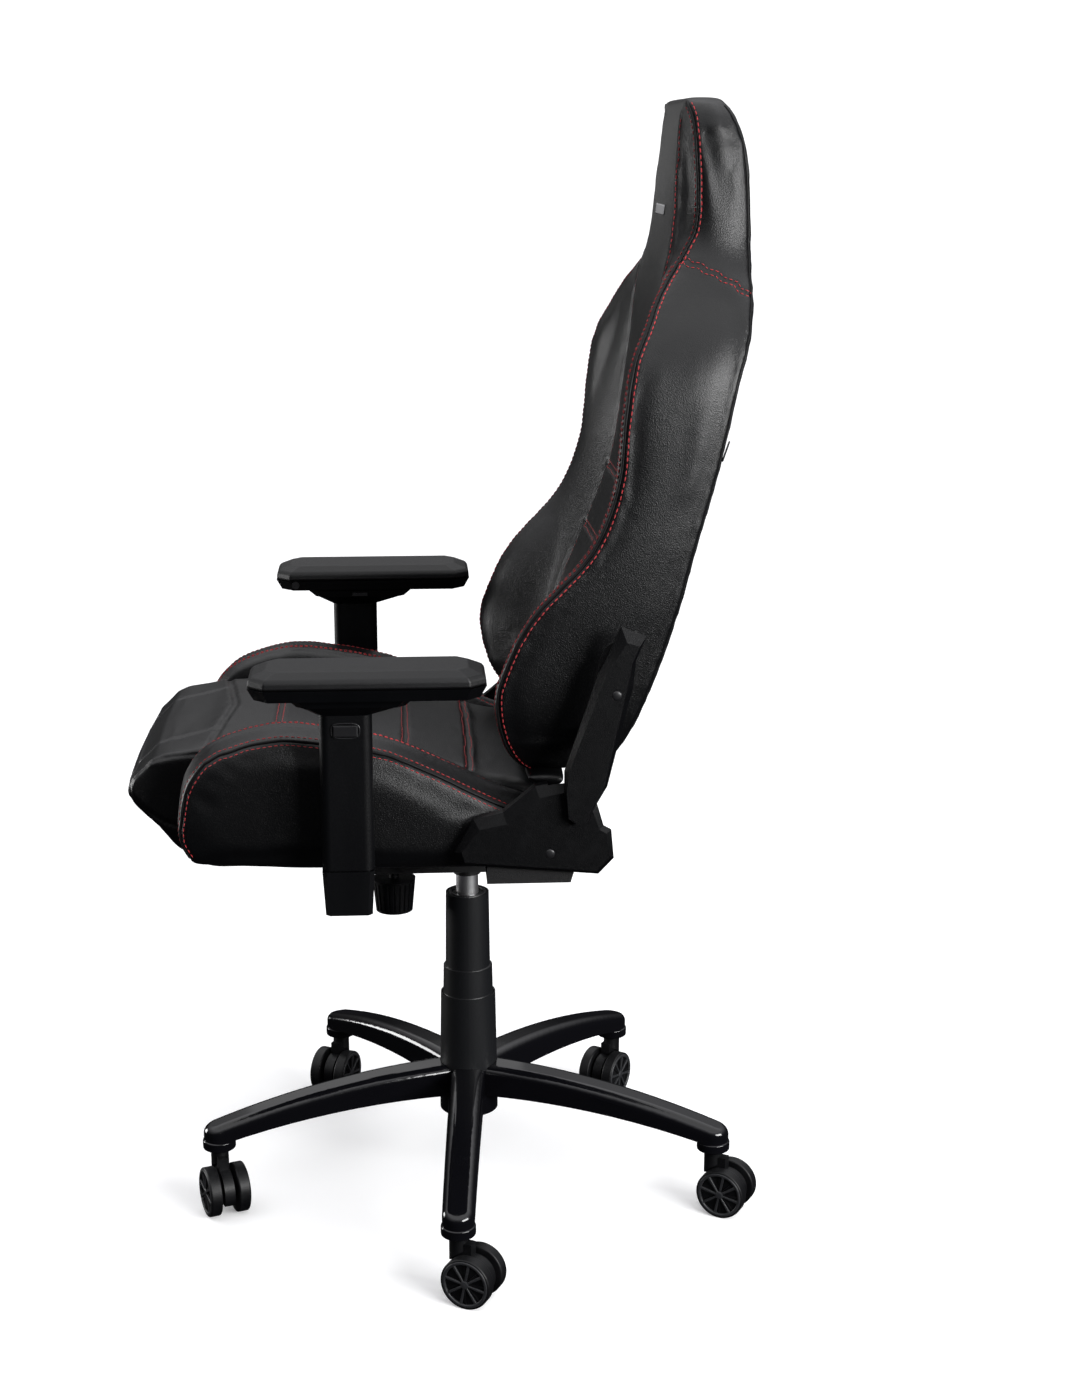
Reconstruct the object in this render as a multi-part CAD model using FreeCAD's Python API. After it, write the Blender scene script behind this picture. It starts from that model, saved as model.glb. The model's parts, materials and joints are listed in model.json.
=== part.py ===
"""Gaming chair: rocking seat on a five-leg castor base, reclining back, height-adjustable armrests.

Millimetres, +Z up. The origin is on the floor, on the axis of the lift column. The chair faces -Y,
and its left side is at +X. Every piece is a solid of its own, written to parts/NODE.step.
Heights are stacked: each piece stands on the one below, so a taller castor lifts the whole chair.
"""

import FreeCAD, Part
import math
import os

# ---------------------------------------------------------------- clearances
fit_gap = 0.05               # running and seated fits, radial
part_gap = 0.4               # between pieces that move past each other
soft_gap = 0.5               # between soft pieces and what they rest against
overrun = 1.0                # how far a cutting tool reaches past the face it opens
sheet = 3.0                  # pressed steel

# ---------------------------------------------------------------- castors
wheel_radius = 31.0
wheel_width = 14.5
wheel_spacing = 36.0         # between the middles of the twin wheels
wheel_edge = 2.0             # rounding of the tyre's edges
wheel_headroom = 18.0        # wheel top to the underside of the leg's collar
castor_trail = 19.0          # stem axis to wheel axis
castor_angles = (63.0, 60.0, -34.0, -25.0, 20.0)
stem_radius = 5.5
stem_depth = 22.0            # how far the leg's socket takes the stem
stem_seat = 14.0             # how far the fork's neck takes the stem
axle_radius = 4.0
fork_thickness = 13.0
fork_inset = 6.0             # the web's edge lies this far inside the wheel's
fork_cut = 14.0              # the web ends this far below the axle
neck_radius = 11.0
bridge_drop = 8.0            # top of the bridge below the top of the neck
hood_gap = 1.5               # wheel to the fork around it
spoke_count = 8
spoke_width = 2.2
spoke_recess = 1.0           # spoke face below the tyre's side
dish_depth = 3.0
tyre_thickness = 4.0
wheel_hub_radius = 6.5

# ---------------------------------------------------------------- star base
leg_count = 5
leg_reach = 325.0            # column axis to castor stem axis
leg_start_angle = -4.0       # direction of the first leg
leg_root_width = 44.0
leg_tip_width = 38.0
leg_root_height = 41.0
leg_tip_height = 22.0
leg_tip_rise = 28.0          # collar underside to the leg's top at its tip
leg_rise = 49.0              # leg's top at its tip to its top at the column
leg_bow = 14.0               # how far the leg arches above a straight line
leg_crown = 11.0             # rounding along the leg's upper edges
collar_height = 12.0
collar_lip = 1.5             # how far the socket collar stands out of the leg tip
collar_edge = 2.0
hub_wall = 12.0                # round the gas tube
hub_drop = 5.0               # hub's top below the legs' top line
hub_height = 60.0

# ---------------------------------------------------------------- lift column
gas_tube_radius = 25.0
gas_tube_wall = 1.6
gas_tube_length = 202.0
gas_tube_drop = 4.0          # tube's end below the hub
piston_radius = 14.0
piston_floor = 2.0           # piston's end above the tube's floor at its lowest
lift_down = 80.0
cover_wall = 1.6
cover_gap = 0.6
cover_flare = 1.6            # how much each cover widens downwards
cover_floor = 13.0           # clearance under the upper cover at its lowest
cap_thickness = 3.0
cap_recess = 1.0
lower_cover_length = 98.0
middle_cover_stand = 36.0    # how much of the middle cover shows
upper_cover_stand = 98.0     # how much of the upper cover shows
rod_stand = 25.0             # bare rod between the upper cover and the taper socket

# ---------------------------------------------------------------- tilt mechanism
socket_length = 39.0
socket_wall = 3.0
socket_stand = 19.0          # how far the socket hangs below the housing
housing_height = 50.0
housing_half_width = 58.0
housing_front = -128.0
housing_rear = 46.0
housing_corner = 12.0        # sloped front corner, and height of the rear wall
housing_step = 24.0          # height where the side walls start to slope down
tilt_axis_y = -74.0
tilt_axis_rise = 18.0        # above the housing's floor
tilt_axle_radius = 6.0
ear_thickness = 4.0
ear_radius = 15.0
axle_end = 3.0               # how far the axle's ends stand out of the ears
knob_y = -92.0
knob_gap = 24.0              # housing's floor to the knob's top
knob_height = 42.0
knob_radius = 27.0
knob_taper = 4.0
knob_rib_count = 24
knob_rim = 3.0               # smooth ring above and below the ribs
knob_screw_radius = 6.0
knob_screw_reach = 14.0      # how far the screw stands above the housing's floor
seat_plate_stand = 7.0       # seat plate above the housing's walls
seat_plate_thickness = 4.0
seat_plate_half_width = 95.0
seat_plate_length = 270.0
seat_plate_y = -25.0
seat_plate_corner = 14.0

# ---------------------------------------------------------------- lift lever
lever_y = -22.0
lever_rise = 12.0            # above the housing's floor
lever_reach = 265.0          # chair's middle to the paddle's end
lever_rod_radius = 4.0
lever_bush_radius = 8.0
lever_bush_length = 25.0
lever_bush_stand = 9.0       # how far the bush stands out of the housing
lever_swing = 2.0            # room in the bush above and below the rod
lever_pin_radius = 1.5
paddle_length = 75.0
paddle_width = 34.0
paddle_thickness = 10.0
paddle_corner = 9.0

# ---------------------------------------------------------------- seat
recline_y = 120.0            # recliner axis, behind the lift column
recline_rise = 98.6          # recliner axis above the seat pan's underside
seat_setback = 25.0          # cushions end this far in front of the recliner axis
seat_depth = 500.0
seat_pan_thickness = 12.0
seat_pan_half_width = 200.0
seat_pan_corner = 30.0
pan_setback = 25.0           # pan's front behind the bolsters' front
cushion_half_width = 173.0
cushion_thickness = 139.1
nose_drop = 15.0             # how far the cushion's nose hangs in front of the pan
bolster_half_width = 262.0
bolster_setback = 65.0       # bolster's front behind the cushion's nose
bolster_thickness = 158.1
bolster_lift = 2.0           # bolster's underside above the cushion's

# ---------------------------------------------------------------- recliner
recline_shaft_radius = 6.0
plate_thickness = 5.0
flange_thickness = 4.0
flange_length = 78.0
flange_overlap = 45.0        # how far the flange reaches under the seat pan
side_clearance = 3.0         # bolster side to the first recliner plate
recliner_arm_length = 165.0
recliner_arm_half_width = 17.0
back_lean = 14.0             # of the recliner arm, from vertical
wing_cover_thickness = 20.0
wing_cover_skin = 6.0
wing_cover_slope = 7.0       # depth of the sloped facets round its face
screw_boss_radius = 6.0
bracket_stand = 1.0          # further out than the running gap to the wing cover
bracket_cover_thickness = 12.0
bracket_cover_slope = 8.0    # depth of the sloped facets round its face
bracket_boss_shares = (0.72, 0.97)   # places of its two bosses along the recliner arm

# ---------------------------------------------------------------- recline lever
lever_hub_back = 60.0        # lever's pivot in front of the recliner axis
lever_hub_drop = 43.0        # and below it
lever_hub_radius = 13.0
lever_hub_thickness = 9.0

# ---------------------------------------------------------------- back
back_inset = 6.0             # back's side inside the bolster's
head_half_width = 142.0
shoulder_rise = 412.0        # recliner axis to the shoulders
neck_rise = 172.0            # shoulders to the neck
head_height = 180.0
frame_tube_radius = 11.0
frame_bend_radius = 45.0
frame_inset = 52.0           # back's edge to the hoop's upright tube
head_tube_inset = 40.0       # the same at the head, and below the neck
cross_tube_rise = 62.0       # recliner axis to the lowest cross tube
middle_tube_rise = 292.0     # recliner axis to the middle cross tube
cross_tube_extra = 2.0       # the lowest cross tube is this much thicker
middle_tube_less = 3.0       # the middle cross tube is this much thinner

# ---------------------------------------------------------------- armrests
arm_gap = 22.0               # bolster's side to the sleeve
post_y = -140.0
bar_thickness = 6.0
bar_depth = 40.0
bar_overlap = 70.0           # how far the bar reaches under the seat pan
boss_drop = 22.4             # boss's underside below the seat pan
boss_height = 51.0
boss_taper = 2.0
sleeve_depth = 58.0          # along Y
sleeve_thickness = 32.0      # along X
sleeve_wall = 3.5
sleeve_corner = 10.0
sleeve_lid = 4.0
sleeve_gap = 2.0             # boss to sleeve at the lowest height
sleeve_height = 177.0
post_headroom = 35.0         # post's end below the sleeve's top
post_corner = 4.0
button_travel = 3.0
height_button_drop = 17.0    # button's middle below the sleeve's top
height_button_width = 28.0
height_button_height = 14.0
height_button_round = 2.0
mount_height = 12.0
mount_width = 62.0
mount_length = 112.0
turn_height = 9.0
turn_stud_radius = 8.0       # stud on the flared top that the turn plate turns on
turn_stud_height = 6.0
turn_width = 72.0
turn_length = 138.0
turn_taper = 8.0             # turn plate's underside is this much narrower
turn_offset = 7.0            # mount and turn plate lie this far behind the post
turn_button_length = 20.0
turn_button_height = 5.0
slide_width = 50.0
slide_length = 120.0
slide_thickness = 4.0
slide_offset = 10.0
pad_offset = 5.0             # pad's middle outside the post's
pad_y = -115.0
pad_length = 258.0
pad_width = 92.0
pad_corner = 18.0
pad_shell_height = 13.0
pad_shell_lift = 1.0         # shell's underside above the slide plate's
pad_height = 19.2
pad_bevel = 7.0              # height of the sloped band round the pad's top
pad_button_radius = 5.0
pad_button_back = 26.0       # button's place behind the pad's front end

# ---------------------------------------------------------------- heights that follow
collar_bottom = 2 * wheel_radius + wheel_headroom
leg_tip_top = collar_bottom + leg_tip_rise
leg_root_top = leg_tip_top + leg_rise
hub_top = leg_root_top - hub_drop
hub_bottom = hub_top - hub_height
gas_tube_bottom = hub_bottom - gas_tube_drop
gas_tube_top = gas_tube_bottom + gas_tube_length
lower_cover_top = hub_top + lower_cover_length
middle_cover_top = lower_cover_top + middle_cover_stand
upper_cover_top = middle_cover_top + upper_cover_stand
socket_bottom = upper_cover_top + rod_stand
socket_top = socket_bottom + socket_length
housing_bottom = socket_bottom + socket_stand
housing_top = housing_bottom + housing_height
tilt_axis_z = housing_bottom + tilt_axis_rise
lever_z = housing_bottom + lever_rise
seat_plate_bottom = housing_top + seat_plate_stand
seat_plate_top = seat_plate_bottom + seat_plate_thickness
pan_bottom = seat_plate_top + part_gap
pan_top = pan_bottom + seat_pan_thickness
recline_z = pan_bottom + recline_rise
shoulder_height = recline_z + shoulder_rise
neck_height = shoulder_height + neck_rise
back_top = neck_height + head_height

hub_radius = gas_tube_radius + hub_wall
cover_top_radius = gas_tube_radius + cover_gap + cover_wall
back_half_width = bolster_half_width - back_inset
arm_x = bolster_half_width + arm_gap + sleeve_thickness / 2
pad_x = arm_x + pad_offset
seat_rear = recline_y - seat_setback
seat_front = seat_rear - seat_depth
bolster_front = seat_front + bolster_setback
pan_front = bolster_front + pan_setback
lower_plate_x = bolster_half_width + side_clearance
upper_plate_x = lower_plate_x + plate_thickness + part_gap
wing_cover_inner = lower_plate_x - 1.0
wing_cover_outer = wing_cover_inner + wing_cover_thickness

BODY_X = FreeCAD.Vector(1, 0, 0)
BODY_Y = FreeCAD.Vector(0, 1, 0)
BODY_Z = FreeCAD.Vector(0, 0, 1)
ORIGIN = FreeCAD.Vector(0, 0, 0)

nodes = {}


# ---------------------------------------------------------------- helpers
def vec(x, y, z):
    return FreeCAD.Vector(x, y, z)


def save(name, *solids):
    """Keep the solids of one node; they are written at the end."""
    nodes[name] = list(solids)


def box(x0, x1, y0, y1, z0, z1):
    return Part.makeBox(x1 - x0, y1 - y0, z1 - z0, vec(x0, y0, z0))


def centred_box(size_x, size_y, z0, z1, x=0.0, y=0.0):
    return box(x - size_x / 2, x + size_x / 2, y - size_y / 2, y + size_y / 2, z0, z1)


def rod(radius, start, end):
    """A cylinder from one point to another."""
    axis = end - start
    return Part.makeCylinder(radius, axis.Length, start, axis)


def upright(radius, z0, z1, x=0.0, y=0.0):
    return Part.makeCylinder(radius, z1 - z0, vec(x, y, z0))


def cone(r0, r1, z0, z1):
    return Part.makeCone(r0, r1, z1 - z0, vec(0, 0, z0))


def side_slab(outline, x0, x1):
    """An outline of (y, z) points, extruded across the chair."""
    points = [vec(x0, y, z) for y, z in outline]
    return Part.Face(Part.makePolygon(points + points[:1])).extrude(vec(x1 - x0, 0, 0))


def front_slab(outline, y0, y1):
    """An outline of (x, z) points, extruded along the chair."""
    points = [vec(x, y0, z) for x, z in outline]
    return Part.Face(Part.makePolygon(points + points[:1])).extrude(vec(0, y1 - y0, 0))


def chamfered_plan(size_x, size_y, corner, x, y, z):
    """A rectangle with cut corners, as a closed wire at height z."""
    hx, hy = size_x / 2, size_y / 2
    corners = [
        (hx, hy - corner), (hx - corner, hy), (corner - hx, hy), (-hx, hy - corner),
        (-hx, corner - hy), (corner - hx, -hy), (hx - corner, -hy), (hx, corner - hy),
    ]
    points = [vec(x + dx, y + dy, z) for dx, dy in corners]
    return Part.makePolygon(points + points[:1])


def loft(*wires):
    return Part.makeLoft(list(wires), True, True)


def round_edges(shape, radius, chosen):
    """Fillet the edges for which chosen(edge) holds."""
    return shape.makeFillet(radius, [e for e in shape.Edges if chosen(e)])


def is_upright(edge):
    a, b = edge.Vertexes[0].Point, edge.Vertexes[-1].Point
    return abs(a.x - b.x) < 1e-6 and abs(a.y - b.y) < 1e-6 and abs(a.z - b.z) > 1e-6


def is_circle(edge):
    return edge.Curve.TypeId == "Part::GeomCircle"


def rounded_block(size_x, size_y, z0, z1, radius, x=0.0, y=0.0):
    return round_edges(centred_box(size_x, size_y, z0, z1, x, y), radius, is_upright)


def turned(shape, angle, centre=ORIGIN, axis=BODY_Z):
    copy = shape.copy()
    copy.rotate(centre, axis, angle)
    return copy


def moved(shape, x, y, z):
    copy = shape.copy()
    copy.translate(vec(x, y, z))
    return copy


def mirrored(shape):
    """The same piece on the chair's right side."""
    return shape.mirror(ORIGIN, BODY_X)


def both_sides(shape):
    return [shape, mirrored(shape)]


def leg_angle(index):
    return leg_start_angle + index * 360.0 / leg_count


# ---------------------------------------------------------------- star base
def arc_edge(start, end, bow):
    """An arc in the XZ plane that stands bow above the straight line."""
    middle = (start + end) / 2 + vec(0, 0, bow)
    return Part.Arc(start, middle, end).toShape()


def line_edge(start, end):
    return Part.LineSegment(start, end).toShape()


def make_leg():
    """One leg along +X: an arched profile, tapered in plan, with a socket collar at its tip."""
    tip_radius = leg_tip_width / 2
    half_root = leg_root_width / 2
    tip = leg_reach + tip_radius
    top_start = vec(0, 0, leg_root_top)
    top_end = vec(tip, 0, leg_tip_top)
    under_start = vec(0, 0, leg_root_top - leg_root_height)
    under_end = vec(tip, 0, leg_tip_top - leg_tip_height)
    profile = Part.Wire([
        arc_edge(top_start, top_end, leg_bow),
        line_edge(top_end, under_end),
        arc_edge(under_end, under_start, leg_bow),
        line_edge(under_start, top_start),
    ])
    slab = Part.Face(profile).extrude(vec(0, leg_root_width + 2 * overrun, 0))
    slab.translate(vec(0, -half_root - overrun, 0))
    root_right, root_left = vec(0, -half_root, 0), vec(0, half_root, 0)
    tip_right, tip_left = vec(leg_reach, -tip_radius, 0), vec(leg_reach, tip_radius, 0)
    outline = Part.Wire([
        line_edge(root_right, tip_right),
        Part.Arc(tip_right, vec(tip, 0, 0), tip_left).toShape(),
        line_edge(tip_left, root_left),
        line_edge(root_left, root_right),
    ])
    leg = slab.common(Part.Face(outline).extrude(vec(0, 0, leg_root_top + leg_bow)))
    leg = round_edges(leg, min(leg_crown, leg_tip_height / 2, leg_tip_width / 3), is_crown)
    collar = upright(tip_radius + collar_lip, collar_bottom, collar_bottom + collar_height, leg_reach)
    collar = round_edges(collar, collar_edge, is_circle)
    leg = leg.fuse(collar).removeSplitter()
    socket = upright(stem_radius + fit_gap, collar_bottom - overrun, collar_bottom + stem_depth, leg_reach)
    return leg.cut(socket).cut(upright(hub_radius + fit_gap, 0, leg_root_top + leg_bow))


def is_crown(edge):
    """The long upper edges of a leg and the one round its tip."""
    centre = edge.CenterOfMass
    middle_seam = abs(centre.y) < 1e-6 and edge.BoundBox.YLength < 1e-6
    if is_upright(edge) or middle_seam or centre.x < 1.0:
        return False
    share = centre.x / (leg_reach + leg_tip_width / 2)
    top_line = leg_root_top + (leg_tip_top - leg_root_top) * share
    middle_line = top_line - (leg_root_height + (leg_tip_height - leg_root_height) * share) / 2
    return centre.z > middle_line + leg_bow / 2


def star_base():
    hub = upright(hub_radius, hub_bottom, hub_top)
    bore = upright(gas_tube_radius + fit_gap, hub_bottom - overrun, hub_top + overrun)
    save("base_hub", hub.cut(bore))
    leg = make_leg()
    save("base_legs", *[turned(leg, leg_angle(i)) for i in range(leg_count)])


# ---------------------------------------------------------------- castors
def make_fork():
    """Neck, web between the wheels and hood over them, with its stem and axle; stem axis at the origin."""
    half = fork_thickness / 2
    neck_top = collar_bottom - part_gap
    web_radius = wheel_radius - fork_inset
    web = rod(web_radius, vec(castor_trail, -half, wheel_radius), vec(castor_trail, half, wheel_radius))
    below = centred_box(4 * web_radius, 2 * fork_thickness, 0, wheel_radius - fork_cut, castor_trail)
    web = web.cut(below)
    neck = upright(neck_radius, wheel_radius + web_radius / 2 + half - 1.0, neck_top)
    bridge = box(0, castor_trail, -half, half, wheel_radius, neck_top - bridge_drop)
    fork = neck.fuse([web, bridge]).removeSplitter()
    far = half + wheel_spacing
    for side in (-1, 1):
        fork = fork.cut(rod(wheel_radius + hood_gap, vec(castor_trail, side * half, wheel_radius),
                            vec(castor_trail, side * far, wheel_radius)))
    half_axle = wheel_spacing / 2 + wheel_width / 2 - dish_depth
    axle_start = vec(castor_trail, -half_axle, wheel_radius)
    axle_end_point = vec(castor_trail, half_axle, wheel_radius)
    fork = fork.cut(rod(axle_radius + fit_gap, axle_start, axle_end_point))
    fork = fork.cut(upright(stem_radius + fit_gap, neck_top - stem_seat, neck_top + overrun))
    stem = upright(stem_radius, neck_top - stem_seat, collar_bottom + stem_depth - overrun)
    return [fork, rod(axle_radius, axle_start, axle_end_point), stem]


def make_wheel():
    """One castor wheel on the Y axis: tyre ring, thin web and raised spokes on its outer (+Y) face."""
    half = wheel_width / 2
    disc = round_edges(rod(wheel_radius, vec(0, -half, 0), vec(0, half, 0)), wheel_edge, is_circle)
    dish = rod(wheel_radius - tyre_thickness, vec(0, half - dish_depth, 0), vec(0, half + overrun, 0))
    hub = rod(wheel_hub_radius, vec(0, 0, 0), vec(0, half - spoke_recess / 2, 0))
    spoke = box(0, wheel_radius - tyre_thickness / 2, half - dish_depth - overrun, half - spoke_recess,
                -spoke_width / 2, spoke_width / 2)
    spokes = [turned(spoke, i * 360.0 / spoke_count, ORIGIN, BODY_Y) for i in range(spoke_count)]
    wheel = disc.cut(dish).fuse([hub] + spokes).removeSplitter()
    return wheel.cut(rod(axle_radius + fit_gap, vec(0, -half - overrun, 0), vec(0, half + overrun, 0)))


def castors():
    fork = make_fork()
    outer_wheel = make_wheel()
    inner_wheel = turned(outer_wheel, 180.0)
    wheel_a = moved(outer_wheel, castor_trail, wheel_spacing / 2, wheel_radius)
    wheel_b = moved(inner_wheel, castor_trail, -wheel_spacing / 2, wheel_radius)
    for i in range(leg_count):
        angle = math.radians(leg_angle(i))
        x = leg_reach * math.cos(angle)
        y = leg_reach * math.sin(angle)

        def placed(shape):
            return moved(turned(shape, castor_angles[i]), x, y, 0)

        save("castor_%d_fork" % (i + 1), *[placed(s) for s in fork])
        save("castor_%d_wheel_a" % (i + 1), placed(wheel_a))
        save("castor_%d_wheel_b" % (i + 1), placed(wheel_b))


# ---------------------------------------------------------------- lift column
def cover_stage(top, bottom, outer_top):
    """A tapered sleeve; its bore is straight, so that the next stage slides in it."""
    outer = cone(outer_top + cover_flare, outer_top, bottom, top)
    return outer.cut(upright(outer_top - cover_wall, bottom - overrun, top + overrun))


def lift_column():
    rod_hole = piston_radius + fit_gap
    tube = upright(gas_tube_radius, gas_tube_bottom, gas_tube_top)
    tube = tube.cut(upright(gas_tube_radius - gas_tube_wall, gas_tube_bottom + sheet, gas_tube_top - sheet))
    tube = tube.cut(upright(rod_hole, gas_tube_top - sheet - overrun, gas_tube_top + overrun))
    save("gas_spring_tube", tube)
    piston_bottom = gas_tube_bottom + sheet + lift_down + piston_floor
    save("gas_spring_piston", upright(piston_radius, piston_bottom, socket_top - piston_floor))

    cap_top = upper_cover_top - cap_recess
    cap = upright(cover_top_radius - cover_wall, cap_top - cap_thickness, cap_top)
    cap = cap.cut(upright(rod_hole, cap_top - cap_thickness - overrun, cap_top + overrun))
    upper = cover_stage(upper_cover_top, hub_top + lift_down + cover_floor, cover_top_radius)
    save("column_cover_upper", upper.fuse(cap).removeSplitter())

    stage_step = cover_flare + cover_gap + cover_wall
    middle_radius = cover_top_radius + stage_step
    middle_bottom = hub_top + (lift_down + cover_floor) / 2 + overrun
    save("column_cover_middle", cover_stage(middle_cover_top, middle_bottom, middle_radius))
    save("column_cover_lower", cover_stage(lower_cover_top, hub_top, middle_radius + stage_step))


# ---------------------------------------------------------------- tilt mechanism
def tilt_mechanism():
    w = housing_half_width
    floor_top = housing_bottom + sheet
    corner_z = housing_bottom + housing_corner
    outline = [
        (housing_front, corner_z), (housing_front + housing_corner, housing_bottom),
        (housing_rear, housing_bottom), (housing_rear, corner_z), (0.0, housing_bottom + housing_step),
        (tilt_axis_y + ear_radius + 5.0, housing_top), (housing_front, housing_top),
    ]
    hollow = [
        (housing_front + sheet, corner_z + 2.0), (housing_front + housing_corner + 2.0, floor_top),
        (housing_rear - sheet, floor_top), (housing_rear - sheet, housing_top + overrun),
        (housing_front + sheet, housing_top + overrun),
    ]
    shell = side_slab(outline, -w, w).cut(side_slab(hollow, sheet - w, w - sheet))
    socket = upright(piston_radius + fit_gap + socket_wall, socket_bottom, socket_top)
    shell = shell.fuse(socket).removeSplitter()
    shell = shell.cut(upright(piston_radius + fit_gap, socket_bottom - overrun, socket_top + overrun))
    pivot = vec(0, tilt_axis_y, tilt_axis_z)
    ear_inner = w + part_gap
    ear_outer = ear_inner + ear_thickness
    reach = vec(ear_outer + axle_end, 0, 0)
    shell = shell.cut(rod(tilt_axle_radius + fit_gap, pivot - reach, pivot + reach))
    screw_hole = upright(knob_screw_radius + fit_gap, housing_bottom - overrun, floor_top + overrun,
                         0, knob_y)
    lever_start = vec(-w - overrun, lever_y, lever_z)
    lever_hole = rod(lever_bush_radius + fit_gap, lever_start, lever_start + vec(sheet + 2 * overrun, 0, 0))
    save("mechanism_housing", shell.cut([screw_hole, lever_hole]))
    save("tilt_axle", rod(tilt_axle_radius, pivot - reach, pivot + reach))

    plate = rounded_block(2 * seat_plate_half_width, seat_plate_length, seat_plate_bottom, seat_plate_top,
                          seat_plate_corner, 0, seat_plate_y)
    ear = box(ear_inner, ear_outer, tilt_axis_y - ear_radius, tilt_axis_y + ear_radius, tilt_axis_z,
              seat_plate_bottom + overrun)
    ear = ear.fuse(rod(ear_radius, pivot + vec(ear_inner, 0, 0), pivot + vec(ear_outer, 0, 0)))
    ear = ear.cut(rod(tilt_axle_radius + fit_gap, pivot, pivot + reach * 2))
    save("seat_plate", plate.fuse(both_sides(ear)).removeSplitter())


def tension_knob():
    """A ribbed, tapered knob under the housing, on the screw that sets the tilt spring."""
    knob_top = housing_bottom - knob_gap
    knob_bottom = knob_top - knob_height
    foot_radius = knob_radius - knob_taper
    knob = cone(foot_radius, knob_radius, knob_bottom, knob_top)
    groove_radius = math.pi * knob_radius / knob_rib_count / 2.5
    for i in range(knob_rib_count):
        angle = 2 * math.pi * i / knob_rib_count
        out = vec(math.cos(angle), math.sin(angle), 0)
        foot = out * foot_radius + vec(0, 0, knob_bottom + knob_rim)
        head = out * knob_radius + vec(0, 0, knob_top - knob_rim)
        knob = knob.cut(rod(groove_radius, foot, head))
    screw = upright(knob_screw_radius, knob_top - overrun, housing_bottom + knob_screw_reach)
    save("tension_knob", moved(knob.fuse(screw).removeSplitter(), 0, knob_y, 0))


def lift_lever():
    """A round bush in the housing's right wall carries the lever, which is pulled out to free the tilt."""
    bush_end = -housing_half_width - lever_bush_stand
    bush_start = bush_end + lever_bush_length
    pin_x = overrun - housing_half_width
    slot_width = 2 * (lever_rod_radius + part_gap)
    slot_half_height = lever_rod_radius + lever_swing
    bush = rod(lever_bush_radius, vec(bush_end, lever_y, lever_z), vec(bush_start, lever_y, lever_z))
    slot = box(bush_end - overrun, pin_x + sheet, lever_y - slot_width / 2, lever_y + slot_width / 2,
               lever_z - slot_half_height, lever_z + slot_half_height)
    pin_at = vec(pin_x, lever_y, lever_z)
    pin_reach = vec(0, lever_bush_radius - overrun, 0)
    pin = rod(lever_pin_radius, pin_at - pin_reach, pin_at + pin_reach)
    pin_hole = rod(lever_pin_radius + fit_gap, pin_at - pin_reach, pin_at + pin_reach)
    save("lift_lever_bush", bush.cut([slot, pin_hole]), pin)
    paddle_start = paddle_length - lever_reach
    tail_end = vec(paddle_start - paddle_corner, lever_y, lever_z)
    tail = rod(lever_rod_radius, tail_end, pin_at + vec(lever_pin_radius + 0.5, 0, 0)).cut(pin_hole)
    paddle = rounded_block(paddle_length, paddle_width, lever_z - paddle_thickness / 2,
                           lever_z + paddle_thickness / 2, paddle_corner,
                           paddle_start - paddle_length / 2, lever_y)
    save("lift_lever", tail.fuse(paddle).removeSplitter())


# ---------------------------------------------------------------- seat
def seat():
    pan = rounded_block(2 * seat_pan_half_width, seat_rear - pan_front, pan_bottom, pan_top,
                        seat_pan_corner, 0, (seat_rear + pan_front) / 2)
    save("seat_pan", pan)

    base = pan_top + soft_gap
    nose_bottom = base - nose_drop

    def cushion_point(along, up):
        return (seat_front + seat_depth * along, base + cushion_thickness * up)

    cushion = [
        (seat_rear, base), (pan_front - 3.0, base), (pan_front - 8.0, nose_bottom + 2.0),
        (seat_front + seat_depth * 0.134, nose_bottom), (seat_front + seat_depth * 0.106, nose_bottom + 12.0),
    ]
    crown = [
        (0.076, 0.116), (0.032, 0.295), (0.0, 0.525), (0.014, 0.648), (0.04, 0.756), (0.082, 0.885),
        (0.216, 0.97), (0.36, 1.0), (0.66, 0.827), (0.81, 0.684), (0.93, 0.597), (1.0, 0.547),
    ]
    cushion += [cushion_point(along, up) for along, up in crown]
    save("seat_cushion", side_slab(cushion, -cushion_half_width, cushion_half_width))

    low = base + bolster_lift
    bolster_depth = seat_rear - bolster_front
    outline = [
        (1.0, 0.0), (0.331, 0.013), (0.037, 0.076), (0.0, 0.253), (0.018, 0.57), (0.057, 0.766),
        (0.124, 0.899), (0.264, 1.0), (0.391, 0.975), (0.545, 0.892), (0.646, 0.785), (0.878, 0.469),
        (1.0, 0.393),
    ]
    points = [(bolster_front + bolster_depth * along, low + bolster_thickness * up) for along, up in outline]
    bolster = side_slab(points, cushion_half_width + soft_gap, bolster_half_width)
    save("seat_bolsters", *both_sides(bolster))


# ---------------------------------------------------------------- recliner
def about_axis(outline):
    """Outline points given from the recliner axis."""
    return [(recline_y + y, recline_z + z) for y, z in outline]


def arm_strip(half_width, length, x0, x1):
    """A round-ended strip that runs up the back from the recliner axis."""
    foot = vec(x0, recline_y, recline_z)
    head = foot + vec(0, 0, length)
    across = vec(x1 - x0, 0, 0)
    strip = box(x0, x1, recline_y - half_width, recline_y + half_width, recline_z, recline_z + length)
    strip = strip.fuse([rod(half_width, foot, foot + across), rod(half_width, head, head + across)])
    return turned(strip.removeSplitter(), -back_lean, foot, BODY_X)


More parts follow.
